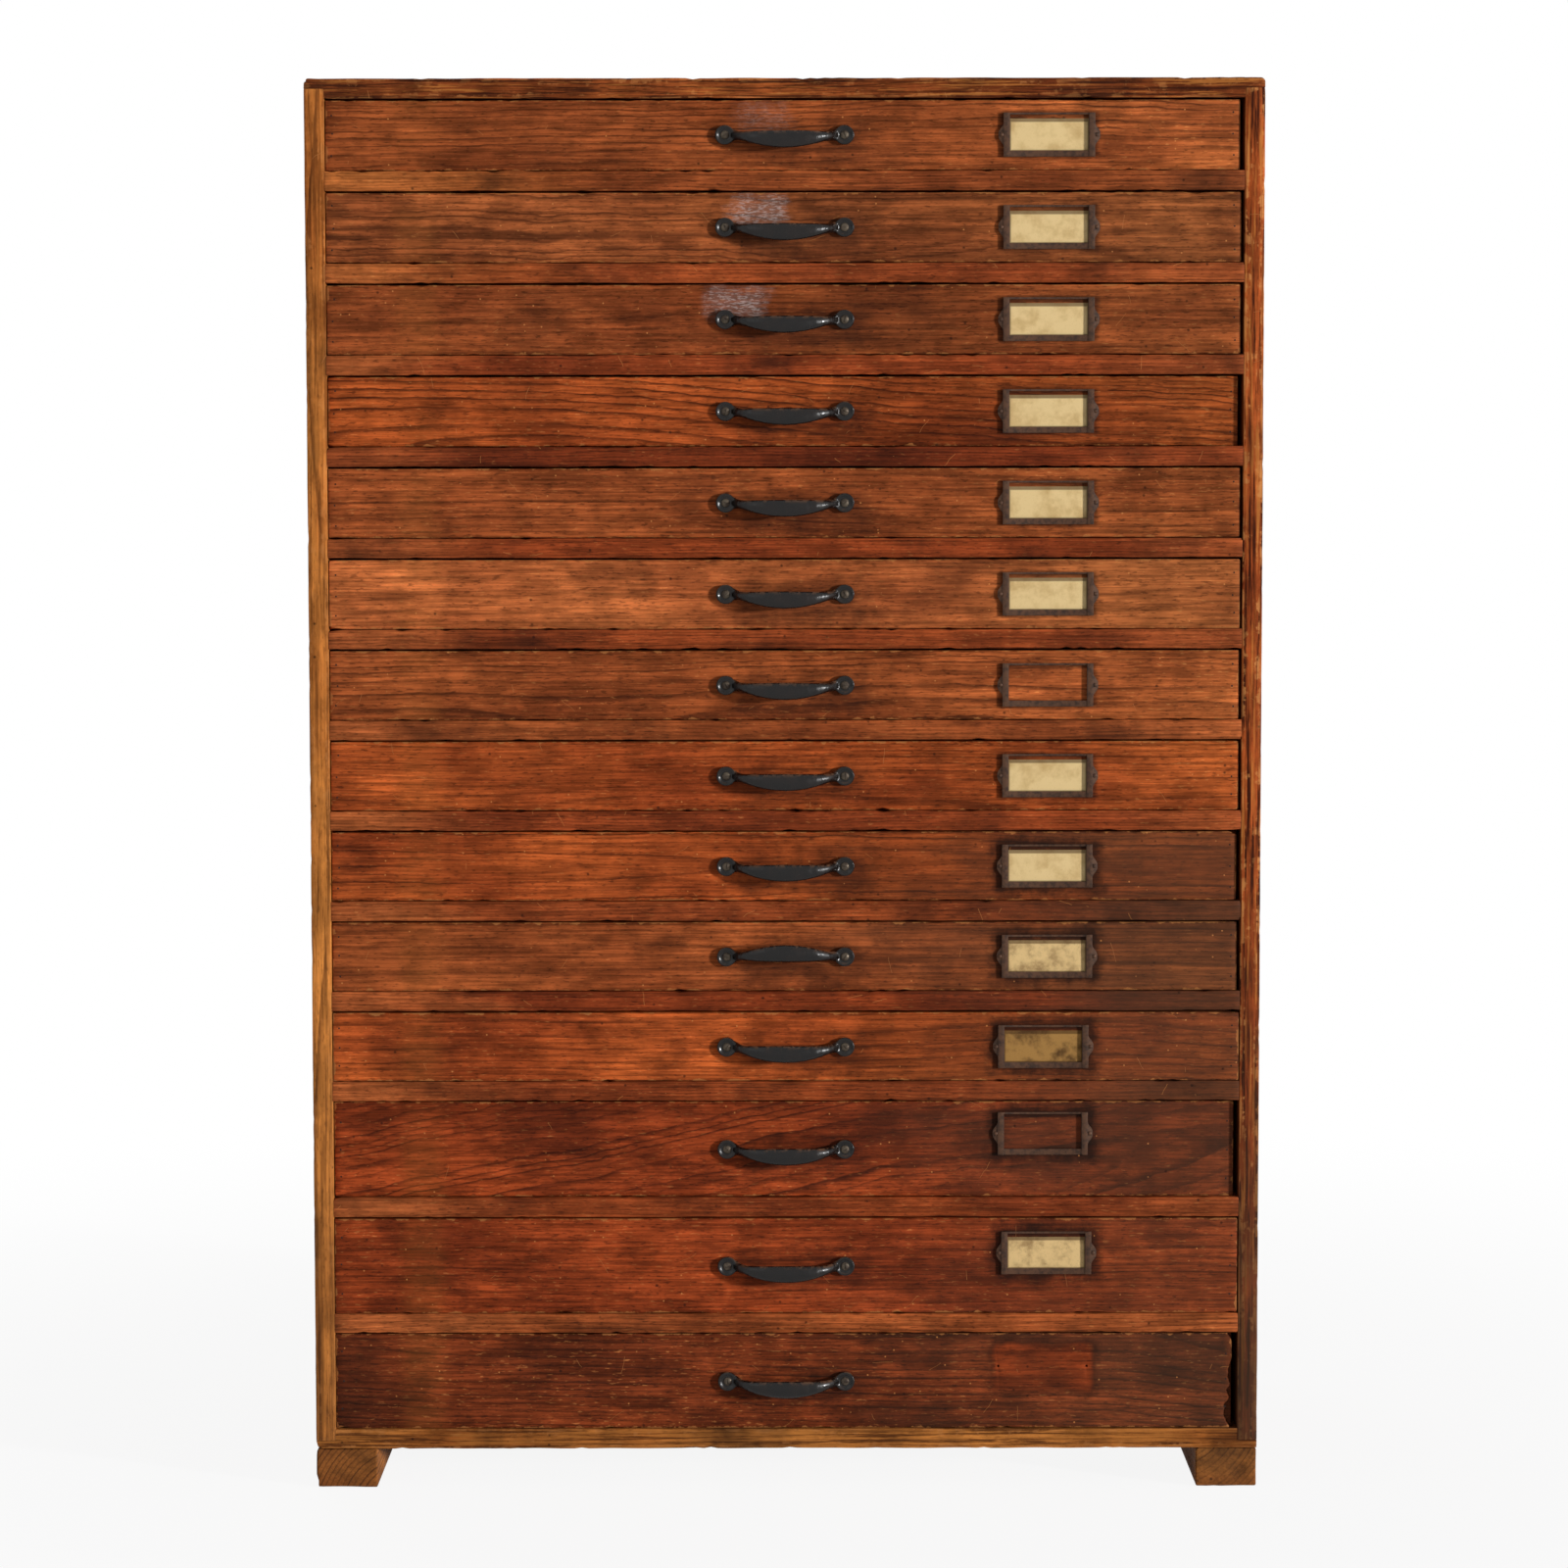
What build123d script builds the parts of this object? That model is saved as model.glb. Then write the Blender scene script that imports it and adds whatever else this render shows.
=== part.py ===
from build123d import *
import os

# A floor-standing wooden cabinet of fourteen drawers, eleven shallow and three deep.
# Millimetres. X runs to the right, the drawers open towards -Y, and Z = 0 is the floor.

# Carcase
cabinet_width = 914.4
cabinet_depth = 558.8
board = 19.05  # top, bottom and sides
top_lap = 9.5  # how far the sides reach into the rabbets under the top board
bottom_lip = 7.5  # what the rabbets leave of the bottom board under the sides
corner_wear = 4.5  # radius worn on the two upper corners
back_thick = 12.7
back_rabbet = 9.5  # width of the rabbet that the back boards sit in
back_board_count = 6
back_gap = 0.4  # room that the back boards leave each other to swell
tongue_thick = 4.2
tongue_length = 6.0
tongue_clearance = 0.15

# Rails and runners between the drawers
rail_height = 19.05
rail_depth = 47.6
tenon_thick = 6.35
tenon_length = 9.5
runner_width = 38.1

# Stops between each drawer side and the back boards
stop_width = 12.7
stop_height = 12.7
stop_clearance = 0.3

# Skids under the case
skid_width = 59.5
skid_height = 38.1
skid_screws = 3
skid_screw_inset = 70.0  # from each end of a skid to its first screw
skid_screw_bite = 12.0  # how far a screw enters the bottom board
counterbore_depth = 16.0
counterbore_play = 1.0

# Drawers, from the top down
shallow_opening = 68.3
deep_opening = 94.5
shallow_count = 11
deep_count = 3
run_clearance = 0.3  # under the drawer sides, where they slide
top_clearance = 1.5
left_clearance = 0.8
right_clearances = (4.5, 3.0, 3.0, 5.0, 2.5, 2.0, 2.5, 2.5, 4.0, 3.0, 1.0, 5.0, 1.0, 5.5)
setbacks = (4.0, 3.0, 3.0, 6.0, 2.5, 2.0, 2.5, 2.5, 4.0, 3.0, 0.5, 6.0, 1.0, 4.0)
rear_room = 36.1  # behind a drawer whose front is flush with the rails
front_thick = 19.05
front_lap = 7.0  # what the rabbets leave of the front over the ends of the sides
side_thick = 12.7
side_drop = 6.0  # sides and back are this much lower than the front
back_dado = 5.0  # depth of the rabbets that hold the drawer's back
panel_thick = 6.35
panel_raise = 7.0  # from the lower edge of the sides to the bottom panel
panel_groove = 5.5
panel_clearance = 0.15

# Bar pulls
pull_span = 114.0  # between screw centres
foot_radius = 9.3
foot_height = 5.0
foot_rim = 1.7
foot_dish = 1.6
grip_reach = 20.0  # from the drawer front to the centre of the grip
grip_droop = 4.0  # how far the grip hangs below the screws
grip_height = 15.0
grip_thick = 8.6
neck_height = 6.2
neck_thick = 6.0
root_height = 12.0  # of the neck where it flows into a foot
flare_start = 0.8  # share of the way to the root where the neck starts to flare
neck_inset = 7.5  # from the screw centre to the root of the neck
turned_pull = 10  # this drawer's pull was put on upside down

# Slotted screws and round-headed pins
screw_head_radius = 4.3
screw_head_height = 2.2
screw_radius = 2.0
screw_bite = 12.0
slot_width = 1.1
slot_depth = 1.0
slot_step = 37.0  # degrees that each slot is turned from the last
pin_head_radius = 2.1
pin_head_height = 1.2
pin_radius = 0.9
pin_bite = 9.0
hole_clearance = 0.05

# Card holders
card_holders = 13  # the lowest drawer has lost its own
cardless = (7, 12)
holder_offset = 252.0  # from the middle of the cabinet to the middle of the holder
holder_shift_x = {11: -3.5, 12: -3.5}
holder_shift_z = {12: 15.0, 13: 12.6}
holder_width = 87.0
holder_height = 41.5
holder_thick = 2.3
ear_reach = 4.8
ear_height = 25.0
window_width = 75.0
window_height = 28.0
window_low = 5.6  # from the lower edge of the holder to the window
bead_width = 5.6
bead_rise = 1.0
card_thick = 0.4
card_play = 0.3
card_overlap = 2.5  # how far the card runs under the holder on each side

# Worked out from the sizes above
drawer_count = shallow_count + deep_count
openings = [shallow_opening] * shallow_count + [deep_opening] * deep_count
inner_width = cabinet_width - 2 * board
case_floor = skid_height + board
case_ceiling = case_floor + sum(openings) + (drawer_count - 1) * rail_height
cabinet_height = case_ceiling + board
side_bottom = skid_height + bottom_lip
side_top = case_ceiling + top_lap
pull_reach = grip_reach + grip_thick / 2
frontmost = pull_reach - min(setbacks)
front_y = (frontmost - cabinet_depth) / 2  # the origin is under the middle of the whole object
back_y = front_y + cabinet_depth
backing_y = back_y - back_thick
rail_back_y = front_y + rail_depth
drawer_length = backing_y - front_y - rear_room


def bay_floor(number):
    """Height of the surface that drawer `number` runs on, counted from 1 at the top."""
    return case_floor + sum(openings[number:]) + (drawer_count - number) * rail_height


def block(x, y, z):
    """A square-cut piece between the two planes given for each axis."""
    middle = [(low + high) / 2 for low, high in (x, y, z)]
    return Pos(*middle) * Box(x[1] - x[0], y[1] - y[0], z[1] - z[0])


def bar(radius, start, end):
    """A round bar along Y."""
    return Pos(0, start, 0) * extrude(Plane.XZ * Circle(radius), -(end - start))


def both_sides(piece):
    return [piece, mirror(piece, about=Plane.YZ)]


def write(node, pieces):
    export_step(Compound(children=list(pieces)), f"parts/{node}.step")


# --- Carcase ---------------------------------------------------------------------------------

def make_top():
    """Full-width board with a rabbet over each side and one along the back, corners worn round."""
    half = cabinet_width / 2
    top = block((-half, half), (front_y, back_y), (case_ceiling, cabinet_height))
    corners = top.edges().filter_by(Axis.Y).group_by(Axis.Z)[-1]
    top = fillet(corners, corner_wear)
    for rabbet in both_sides(block((half - board, half), (front_y, back_y), (case_ceiling, side_top))):
        top -= rabbet
    width = inner_width / 2 + back_rabbet
    return top - block((-width, width), (backing_y, back_y), (case_ceiling, case_ceiling + back_rabbet))


def make_bottom():
    """Full-width board whose rabbets leave a lip for the sides and the back boards to stand on."""
    half = cabinet_width / 2
    bottom = block((-half, half), (front_y, back_y), (skid_height, case_floor))
    for rabbet in both_sides(block((half - board, half), (front_y, back_y), (side_bottom, case_floor))):
        bottom -= rabbet
    width = inner_width / 2 + back_rabbet
    bottom -= block((-width, width), (backing_y, back_y), (side_bottom, case_floor))
    for hole in skid_screw_places():
        bottom -= hole * skid_pilot()
    return bottom


def make_side():
    """Right side, rabbeted along its rear edge for the back boards."""
    inner = inner_width / 2
    outline = Polyline(
        (inner, front_y), (cabinet_width / 2, front_y), (cabinet_width / 2, back_y),
        (inner + back_rabbet, back_y), (inner + back_rabbet, backing_y), (inner, backing_y), close=True,
    )
    return Pos(0, 0, side_bottom) * extrude(make_face(outline), side_top - side_bottom)


def make_back():
    """Vertical tongued and grooved boards across the back."""
    span = inner_width + 2 * back_rabbet
    pitch = span / back_board_count
    low, high = side_bottom, case_ceiling + back_rabbet
    tongue_y = (backing_y + back_y) / 2
    boards = []
    for index in range(back_board_count):
        left = -span / 2 + index * pitch
        right = left + pitch - (back_gap if index < back_board_count - 1 else 0)
        piece = block((left, right), (backing_y, back_y), (low, high))
        if index < back_board_count - 1:
            reach = (tongue_y - tongue_thick / 2, tongue_y + tongue_thick / 2)
            piece += block((right, right + back_gap + tongue_length), reach, (low, high))
        if index > 0:
            slack = tongue_thick / 2 + tongue_clearance
            depth = tongue_length + tongue_clearance
            piece -= block((left, left + depth), (tongue_y - slack, tongue_y + slack), (low, high))
        boards.append(piece)
    return boards


def make_rail(number):
    """Front rail under drawer `number`, grooved behind for the tenons of its two runners."""
    top = bay_floor(number)
    half = inner_width / 2
    rail = block((-half, half), (front_y, rail_back_y), (top - rail_height, top))
    middle = top - rail_height / 2
    for mortise in both_sides(block(
        (half - runner_width, half), (rail_back_y - tenon_length, rail_back_y),
        (middle - tenon_thick / 2, middle + tenon_thick / 2),
    )):
        rail -= mortise
    return rail


def make_runner(number):
    """Right runner of drawer `number`, tenoned into the rail and fixed to the side."""
    top = bay_floor(number)
    half = inner_width / 2
    middle = top - rail_height / 2
    width = (half - runner_width, half)
    runner = block(width, (rail_back_y, backing_y), (top - rail_height, top))
    tenon_z = (middle - tenon_thick / 2, middle + tenon_thick / 2)
    return runner + block(width, (rail_back_y - tenon_length, rail_back_y), tenon_z)


def make_stops():
    """Two blocks behind each drawer, against the back boards, which set how far its front stands back."""
    stops = []
    for number in range(1, drawer_count + 1):
        start = front_y + setbacks[number - 1] + drawer_length + stop_clearance
        floor = bay_floor(number)
        outer = inner_width / 2 - max(left_clearance, max(right_clearances))
        stop = block((outer - stop_width, outer), (start, backing_y), (floor, floor + stop_height))
        stops += both_sides(stop)
    return stops


def make_skid():
    """Right skid, front to back, with counterbored screw holes."""
    half = cabinet_width / 2
    skid = block((half - skid_width, half), (front_y, back_y), (0, skid_height))
    for place in skid_screw_places():
        if place.position.X > 0:
            skid -= place * Cylinder(screw_head_radius + counterbore_play, 2 * counterbore_depth)
            skid -= place * skid_pilot()
    return skid


def skid_screw_places():
    """Where the skid screws stand, on the underside of both skids."""
    x = cabinet_width / 2 - skid_width / 2
    span = cabinet_depth - 2 * skid_screw_inset
    steps = [front_y + skid_screw_inset + span * index / (skid_screws - 1) for index in range(skid_screws)]
    return [Pos(side * x, y, 0) for side in (-1, 1) for y in steps]


def skid_pilot():
    length = skid_height + skid_screw_bite
    return Pos(0, 0, length / 2) * Cylinder(screw_radius + hole_clearance, length)


def make_skid_screw():
    """Wood screw driven up through a skid, its head against the end of the counterbore."""
    screw = slotted_screw(skid_height - counterbore_depth + skid_screw_bite)
    return Pos(0, 0, counterbore_depth) * Rot(90, 0, 0) * screw


# --- Ironmongery -----------------------------------------------------------------------------

def dome(radius, height, shank_radius, shank_length):
    """Round head standing out to -Y on a shank that runs to +Y."""
    outline = [
        Line((0, -height), (radius * 0.35, -height)),
        ThreePointArc((radius * 0.35, -height), (radius * 0.85, -height * 0.62), (radius, 0)),
        Line((radius, 0), (shank_radius, 0)),
        Line((shank_radius, 0), (shank_radius, shank_length)),
        Line((shank_radius, shank_length), (0, shank_length)),
        Line((0, shank_length), (0, -height)),
    ]
    return revolve(make_face(outline), Axis.Y)


def slotted_screw(shank_length, turn=0.0):
    screw = dome(screw_head_radius, screw_head_height, screw_radius, shank_length)
    slot = block(
        (-2 * screw_head_radius, 2 * screw_head_radius),
        (-2 * screw_head_height, slot_depth - screw_head_height), (-slot_width / 2, slot_width / 2),
    )
    return screw - Rot(0, turn, 0) * slot


def make_foot():
    """Round foot of a pull with a raised rim round a dished seat for the screw."""
    seat = foot_height - foot_dish
    rim = foot_radius - foot_rim
    bore = screw_radius + hole_clearance
    outline = [
        Line((bore, 0), (foot_radius, 0)),
        Line((foot_radius, 0), (foot_radius, -foot_height + foot_rim)),
        ThreePointArc(
            (foot_radius, -foot_height + foot_rim),
            (foot_radius - foot_rim * 0.35, -foot_height + foot_rim * 0.3), (rim, -foot_height),
        ),
        Line((rim, -foot_height), (screw_head_radius, -seat)),
        Line((screw_head_radius, -seat), (bore, -seat)),
        Line((bore, -seat), (bore, 0)),
    ]
    return revolve(make_face(outline), Axis.Y)


def make_pull():
    """Cast bar pull, its feet on the plane y = 0 and its swelling grip standing out to -Y."""
    root = pull_span / 2 - neck_inset
    root_out = neck_thick / 6

    def path(share):
        rise = 1 - share ** 4
        return Vector(share * root, -root_out - (grip_reach - root_out) * rise, -grip_droop * (1 - share ** 2))

    def section(share):
        """Oval cut through the casting, square to its path: swelling grip, neck and flared root."""
        swell = (1 - share ** 2) ** 1.3
        flare = max(0.0, (abs(share) - flare_start) / (1 - flare_start)) ** 2
        height = neck_height + (grip_height - neck_height) * swell + (root_height - neck_height) * flare
        thick = neck_thick + (grip_thick - neck_thick) * swell
        along = (path(share + 0.01) - path(share - 0.01)).normalized()
        return Plane(origin=path(share), x_dir=(0, 0, 1), z_dir=along) * Ellipse(height / 2, thick / 2)

    pull = loft([section(share) for share in (-1.0, -0.88, -0.7, -0.4, 0.0, 0.4, 0.7, 0.88, 1.0)])
    bore = bar(screw_radius + hole_clearance, -2 * grip_reach, 1)
    dish = bar(screw_head_radius, -2 * grip_reach, foot_dish - foot_height)
    for side in (-1, 1):
        pull += Pos(side * pull_span / 2, 0, 0) * make_foot()
    for side in (-1, 1):
        pull -= Pos(side * pull_span / 2, 0, 0) * (bore + dish)
    return pull - block((-pull_span, pull_span), (0, foot_radius), (-foot_radius, foot_radius))


def pull_set(number, pull):
    """The pull of one drawer with its two slotted screws, about the middle of the drawer front."""
    seat = foot_dish - foot_height
    pieces = [pull]
    for side in (-1, 1):
        screw = slotted_screw(screw_bite - seat, slot_step * (2 * number + side))
        pieces.append(Pos(side * pull_span / 2, seat, 0) * screw)
    if number == turned_pull:
        pieces = [Rot(0, 180, 0) * piece for piece in pieces]
    return pieces


def make_holder():
    """Card holder, its back on the plane y = 0: scalloped ears, side beads and an open-topped slot."""
    half, low = holder_width / 2, holder_height / 2
    ear = ear_height / 2
    shoulder = half + ear_reach * 0.3
    right = [
        Line((half, -low), (half, -ear)),
        ThreePointArc((half, -ear), (half + ear_reach * 0.08, -ear * 0.75), (shoulder, -ear * 0.5)),
        ThreePointArc((shoulder, -ear * 0.5), (half + ear_reach, 0), (shoulder, ear * 0.5)),
        ThreePointArc((shoulder, ear * 0.5), (half + ear_reach * 0.08, ear * 0.75), (half, ear)),
        Line((half, ear), (half, low)),
    ]
    left = [mirror(edge, about=Plane.YZ) for edge in right]
    rim = right + left + [Line((half, low), (-half, low)), Line((half, -low), (-half, -low))]
    plate = extrude(Plane.XZ * make_face(rim), holder_thick)
    window_z = (-low + window_low, -low + window_low + window_height)
    plate -= block((-window_width / 2, window_width / 2), (-holder_thick, 0), window_z)
    slot = window_width / 2 + card_overlap + card_play
    depth = card_thick + card_play
    plate -= block((-slot, slot), (-depth, 0), (window_z[0] - card_overlap - card_play, low))
    bead_x = (half - bead_width, half)
    for bead in both_sides(block(bead_x, (-holder_thick - bead_rise, -holder_thick), (-low, low))):
        plate += bead
    for side in (-1, 1):
        plate -= Pos(side * pin_x(), 0, 0) * bar(pin_radius + hole_clearance, -2 * holder_thick, 1)
        plate -= Pos(side * pin_x(), 0, 0) * bar(pin_head_radius, -2 * holder_thick, -holder_thick)
    return plate


def pin_x():
    """Distance of the pins from the middle of the holder, in its ears."""
    return holder_width / 2 + ear_reach - pin_head_radius - 0.8


def make_card():
    low = -holder_height / 2 + window_low - card_overlap
    half = window_width / 2 + card_overlap
    high = -holder_height / 2 + window_low + window_height + card_overlap
    return block((-half, half), (-card_thick - card_play / 2, -card_play / 2), (low, high))


def holder_set(number, holder):
    """Holder of one drawer with its two pins and, where one is left, its card."""
    pin = dome(pin_head_radius, pin_head_height, pin_radius, holder_thick + pin_bite)
    pieces = [holder]
    pieces += [Pos(side * pin_x(), -holder_thick, 0) * pin for side in (-1, 1)]
    if number not in cardless:
        pieces.append(make_card())
    return pieces


# --- Drawers ---------------------------------------------------------------------------------

def front_height(number):
    return openings[number - 1] - run_clearance - top_clearance


def drawer_width(number):
    return inner_width - left_clearance - right_clearances[number - 1]


def drawer_place(number):
    """Middle of the lower front edge of a drawer that is shut."""
    x = (left_clearance - right_clearances[number - 1]) / 2
    return x, front_y + setbacks[number - 1], bay_floor(number) + run_clearance


def fittings_place(number, x_from_middle=0.0, z_from_middle=0.0):
    """A point on the drawer front, from the middle of the cabinet and half the front's height."""
    x, y, z = drawer_place(number)
    return Pos(x_from_middle, y, z + front_height(number) / 2 + z_from_middle)


def holder_place(number):
    x = holder_offset + holder_shift_x.get(number, 0.0)
    return fittings_place(number, x, holder_shift_z.get(number, 0.0))


def make_drawer(number):
    """Front, two sides, back and bottom of one drawer, jointed and in place."""
    x, y, z = drawer_place(number)
    half = drawer_width(number) / 2
    tall = front_height(number)
    side_tall = tall - side_drop
    inside = half - side_thick
    groove_z = (panel_raise, panel_raise + panel_thick)

    front = block((-half, half), (0, front_thick), (0, tall))
    for rabbet in both_sides(block((inside, half), (front_lap, front_thick), (0, tall))):
        front -= rabbet
    front -= block((-inside, inside), (front_thick - panel_groove, front_thick), groove_z)

    side = block((inside, half), (front_lap, drawer_length), (0, side_tall))
    side -= block((inside, inside + panel_groove), (front_lap, drawer_length), groove_z)
    dado_y = (drawer_length - side_thick, drawer_length)
    side -= block((inside, inside + back_dado), dado_y, (groove_z[1], side_tall))

    back = block((-inside - back_dado, inside + back_dado), dado_y, (groove_z[1], side_tall))
    reach = inside + panel_groove - panel_clearance
    start = front_thick - panel_groove + panel_clearance
    panel = block(
        (-reach, reach), (start, drawer_length),
        (groove_z[0] + panel_clearance, groove_z[1] - panel_clearance),
    )
    place = Pos(x, y, z)
    pieces = [place * piece for piece in [front, *both_sides(side), back, panel]]

    drill = bar(screw_radius + hole_clearance, -1, screw_bite)
    for sign in (-1, 1):
        pieces[0] -= fittings_place(number, sign * pull_span / 2) * drill
    if number <= card_holders:
        drill = bar(pin_radius + hole_clearance, -1, pin_bite)
        for sign in (-1, 1):
            pieces[0] -= holder_place(number) * Pos(sign * pin_x(), 0, 0) * drill
    return pieces


# --- The whole cabinet -----------------------------------------------------------------------

os.makedirs("parts", exist_ok=True)

right_side, left_side = both_sides(make_side())
right_skid, left_skid = both_sides(make_skid())
write("top_board", [make_top()])
write("bottom_board", [make_bottom()])
write("side_left", [left_side])
write("side_right", [right_side])
write("back_boards", make_back())
write("front_rails", [make_rail(number) for number in range(1, drawer_count)])
runners = [both_sides(make_runner(number)) for number in range(1, drawer_count)]
write("runners_right", [pair[0] for pair in runners])
write("runners_left", [pair[1] for pair in runners])
write("drawer_stops", make_stops())
write("skid_left", [left_skid])
write("skid_right", [right_skid])
write("skid_screws", [place * make_skid_screw() for place in skid_screw_places()])

plain_pull = make_pull()
plain_holder = make_holder()
for number in range(1, drawer_count + 1):
    write(f"drawer_{number:02d}", make_drawer(number))
    place = fittings_place(number)
    write(f"pull_{number:02d}", [place * piece for piece in pull_set(number, plain_pull)])
    if number <= card_holders:
        place = holder_place(number)
        write(f"card_holder_{number:02d}", [place * piece for piece in holder_set(number, plain_holder)])

print(f"{cabinet_width:.1f} wide, {cabinet_depth + frontmost:.1f} deep, {cabinet_height:.1f} high")
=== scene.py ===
import math
import random

import bpy
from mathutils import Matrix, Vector, noise


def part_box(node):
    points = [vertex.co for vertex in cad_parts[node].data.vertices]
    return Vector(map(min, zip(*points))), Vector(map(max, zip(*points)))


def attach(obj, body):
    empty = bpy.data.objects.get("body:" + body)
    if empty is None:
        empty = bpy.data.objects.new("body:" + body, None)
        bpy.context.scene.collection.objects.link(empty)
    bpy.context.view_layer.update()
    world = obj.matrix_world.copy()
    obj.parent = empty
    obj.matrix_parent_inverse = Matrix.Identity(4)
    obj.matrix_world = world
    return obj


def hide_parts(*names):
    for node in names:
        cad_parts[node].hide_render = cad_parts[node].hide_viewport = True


# An old cabinet of fourteen drawers in stained fir, with iron pulls and card holders.
# Metres, Z up, and the drawers open towards -Y.

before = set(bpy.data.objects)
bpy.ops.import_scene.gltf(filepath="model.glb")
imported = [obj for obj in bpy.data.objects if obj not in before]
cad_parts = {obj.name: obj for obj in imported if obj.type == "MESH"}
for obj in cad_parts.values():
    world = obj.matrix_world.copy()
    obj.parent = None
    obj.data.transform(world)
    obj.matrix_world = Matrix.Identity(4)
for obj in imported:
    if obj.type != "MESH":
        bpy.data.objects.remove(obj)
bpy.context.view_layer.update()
random.seed(14)
print("frame loaded")

drawerNumbers = range(1, 15)


# small steps that every piece uses

def clearSelection():
    if bpy.context.mode != "OBJECT":
        bpy.ops.object.mode_set(mode="OBJECT")
    bpy.ops.object.select_all(action="DESELECT")


def makeActive(*pieces):
    clearSelection()
    for piece in pieces:
        piece.select_set(True)
    bpy.context.view_layer.objects.active = pieces[0]


def settle(piece):
    # the place goes into the mesh, as the frame wants it
    makeActive(piece)
    bpy.ops.object.transform_apply(location=True, rotation=True, scale=True)
    return piece


def startBlock(name, low, high):
    clearSelection()
    low, high = Vector(low), Vector(high)
    bpy.ops.mesh.primitive_cube_add(size=1, location=(low + high) / 2, scale=high - low)
    piece = bpy.context.active_object
    piece.name = name
    return settle(piece)


def editFaces(piece, wanted):
    # opens edit mode with the faces selected whose centre and normal pass the test
    makeActive(piece)
    bpy.ops.object.mode_set(mode="EDIT")
    bpy.ops.mesh.select_all(action="DESELECT")
    bpy.ops.mesh.select_mode(type="FACE")
    bpy.ops.object.mode_set(mode="OBJECT")
    for face in piece.data.polygons:
        face.select = wanted(face.center, face.normal)
    bpy.ops.object.mode_set(mode="EDIT")


def extrudeFaces(piece, wanted, move):
    editFaces(piece, wanted)
    bpy.ops.mesh.extrude_region_move(TRANSFORM_OT_translate={"value": move})
    bpy.ops.object.mode_set(mode="OBJECT")


def sliceAcross(piece, axis, spots):
    # cuts a loop of edges round the piece at each place along an axis
    makeActive(piece)
    bpy.ops.object.mode_set(mode="EDIT")
    normal = [0.0, 0.0, 0.0]
    normal[axis] = 1.0
    for spot in spots:
        bpy.ops.mesh.select_all(action="SELECT")
        bpy.ops.mesh.bisect(plane_co=[spot * part for part in normal], plane_no=normal)
    bpy.ops.object.mode_set(mode="OBJECT")


def applyModifier(piece, kind, **settings):
    modifier = piece.modifiers.new(kind.lower(), kind)
    for key, value in settings.items():
        setattr(modifier, key, value)
    makeActive(piece)
    bpy.ops.object.modifier_apply(modifier=modifier.name)


def cutAway(piece, *cutters):
    for cutter in cutters:
        applyModifier(piece, "BOOLEAN", operation="DIFFERENCE", object=cutter, solver="EXACT")
        bpy.data.objects.remove(cutter)


def easeEdges(piece, width, segments=2, angle=40):
    applyModifier(
        piece, "BEVEL", width=width, segments=segments, limit_method="ANGLE",
        angle_limit=math.radians(angle), use_clamp_overlap=True,
    )


def shadeByAngle(piece, angle=35):
    makeActive(piece)
    bpy.ops.object.shade_smooth_by_angle(angle=math.radians(angle))


def joinPieces(name, pieces):
    makeActive(*pieces)
    if len(pieces) > 1:
        bpy.ops.object.join()
    pieces[0].name = name
    return pieces[0]


def copyPiece(piece, name, shift=(0, 0, 0)):
    twin = piece.copy()
    twin.data = piece.data.copy()
    twin.name = name
    bpy.context.collection.objects.link(twin)
    twin.location = shift
    return settle(twin)


def looseCopies(node):
    # the solids of a frame node as objects of their own, joined up and free of needless edges
    twin = bpy.data.objects.new(node + "Copy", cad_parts[node].data.copy())
    bpy.context.collection.objects.link(twin)
    makeActive(twin)
    bpy.ops.object.mode_set(mode="EDIT")
    bpy.ops.mesh.select_all(action="SELECT")
    bpy.ops.mesh.remove_doubles(threshold=1e-6)
    bpy.ops.mesh.separate(type="LOOSE")
    bpy.ops.object.mode_set(mode="OBJECT")
    return list(bpy.context.selected_objects)


def cornersOf(piece):
    spots = [vertex.co for vertex in piece.data.vertices]
    return (
        Vector([min(spot[axis] for spot in spots) for axis in range(3)]),
        Vector([max(spot[axis] for spot in spots) for axis in range(3)]),
    )


def wearTexture(name, size, contrast=1.0, brightness=1.0):
    texture = bpy.data.textures.new(name, "CLOUDS")
    texture.noise_scale = size
    texture.noise_depth = 2
    texture.contrast = contrast
    texture.intensity = brightness
    texture.use_clamp = True
    return texture


wearTextures = {
    "chewed": wearTexture("chewed", 0.014, 2.2),
    "warped": wearTexture("warped", 0.05, 1.2),
}
wearKinds = {  # size of the pattern, depth, and how rare it is (0 to 1)
    "rubbed": (0.035, 0.0007, 0.35), "nicked": (0.0065, 0.0022, 0.62),
}
wearReach = 0.0026  # points this near a board's outline can wear away
frontDepth = 0.0025  # points this near a board's front belong to its face


def wearDown(piece, touched, strength=1.0):
    # moves the chosen points of an outline inwards, more in some places than in others
    low, high = cornersOf(piece)
    for size, depth, rarity in wearKinds.values():
        for vertex in piece.data.vertices:
            spot = vertex.co
            if touched(spot):
                bite = 0.5 + 0.5 * noise.noise(spot / size + Vector((size * 900, 0, 0)))
                bite = max(0.0, bite - rarity) / (1 - rarity) * depth * strength
                for axis in range(3):
                    if spot[axis] - low[axis] < wearReach:
                        spot[axis] += bite
                    elif high[axis] - spot[axis] < wearReach:
                        spot[axis] -= bite


def spread(start, stop, step):
    count = max(1, round((stop - start) / step))
    return [start + (stop - start) * index / count for index in range(1, count)]


def dress(piece, material, body, slot, *nodes):
    piece.data.materials.clear()
    piece.data.materials.append(material)
    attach(piece, body)
    if nodes:
        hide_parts(*nodes)


# short words for shader nodes: all of them work on the tree that is open

def paint(red, green, blue):
    # a colour as a screen shows it, 0 to 255
    parts = [value / 255 for value in (red, green, blue)]
    return (*[part / 12.92 if part <= 0.04045 else ((part + 0.055) / 1.055) ** 2.4 for part in parts], 1.0)


bench = {"tree": None}  # the node tree that is being built


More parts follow.
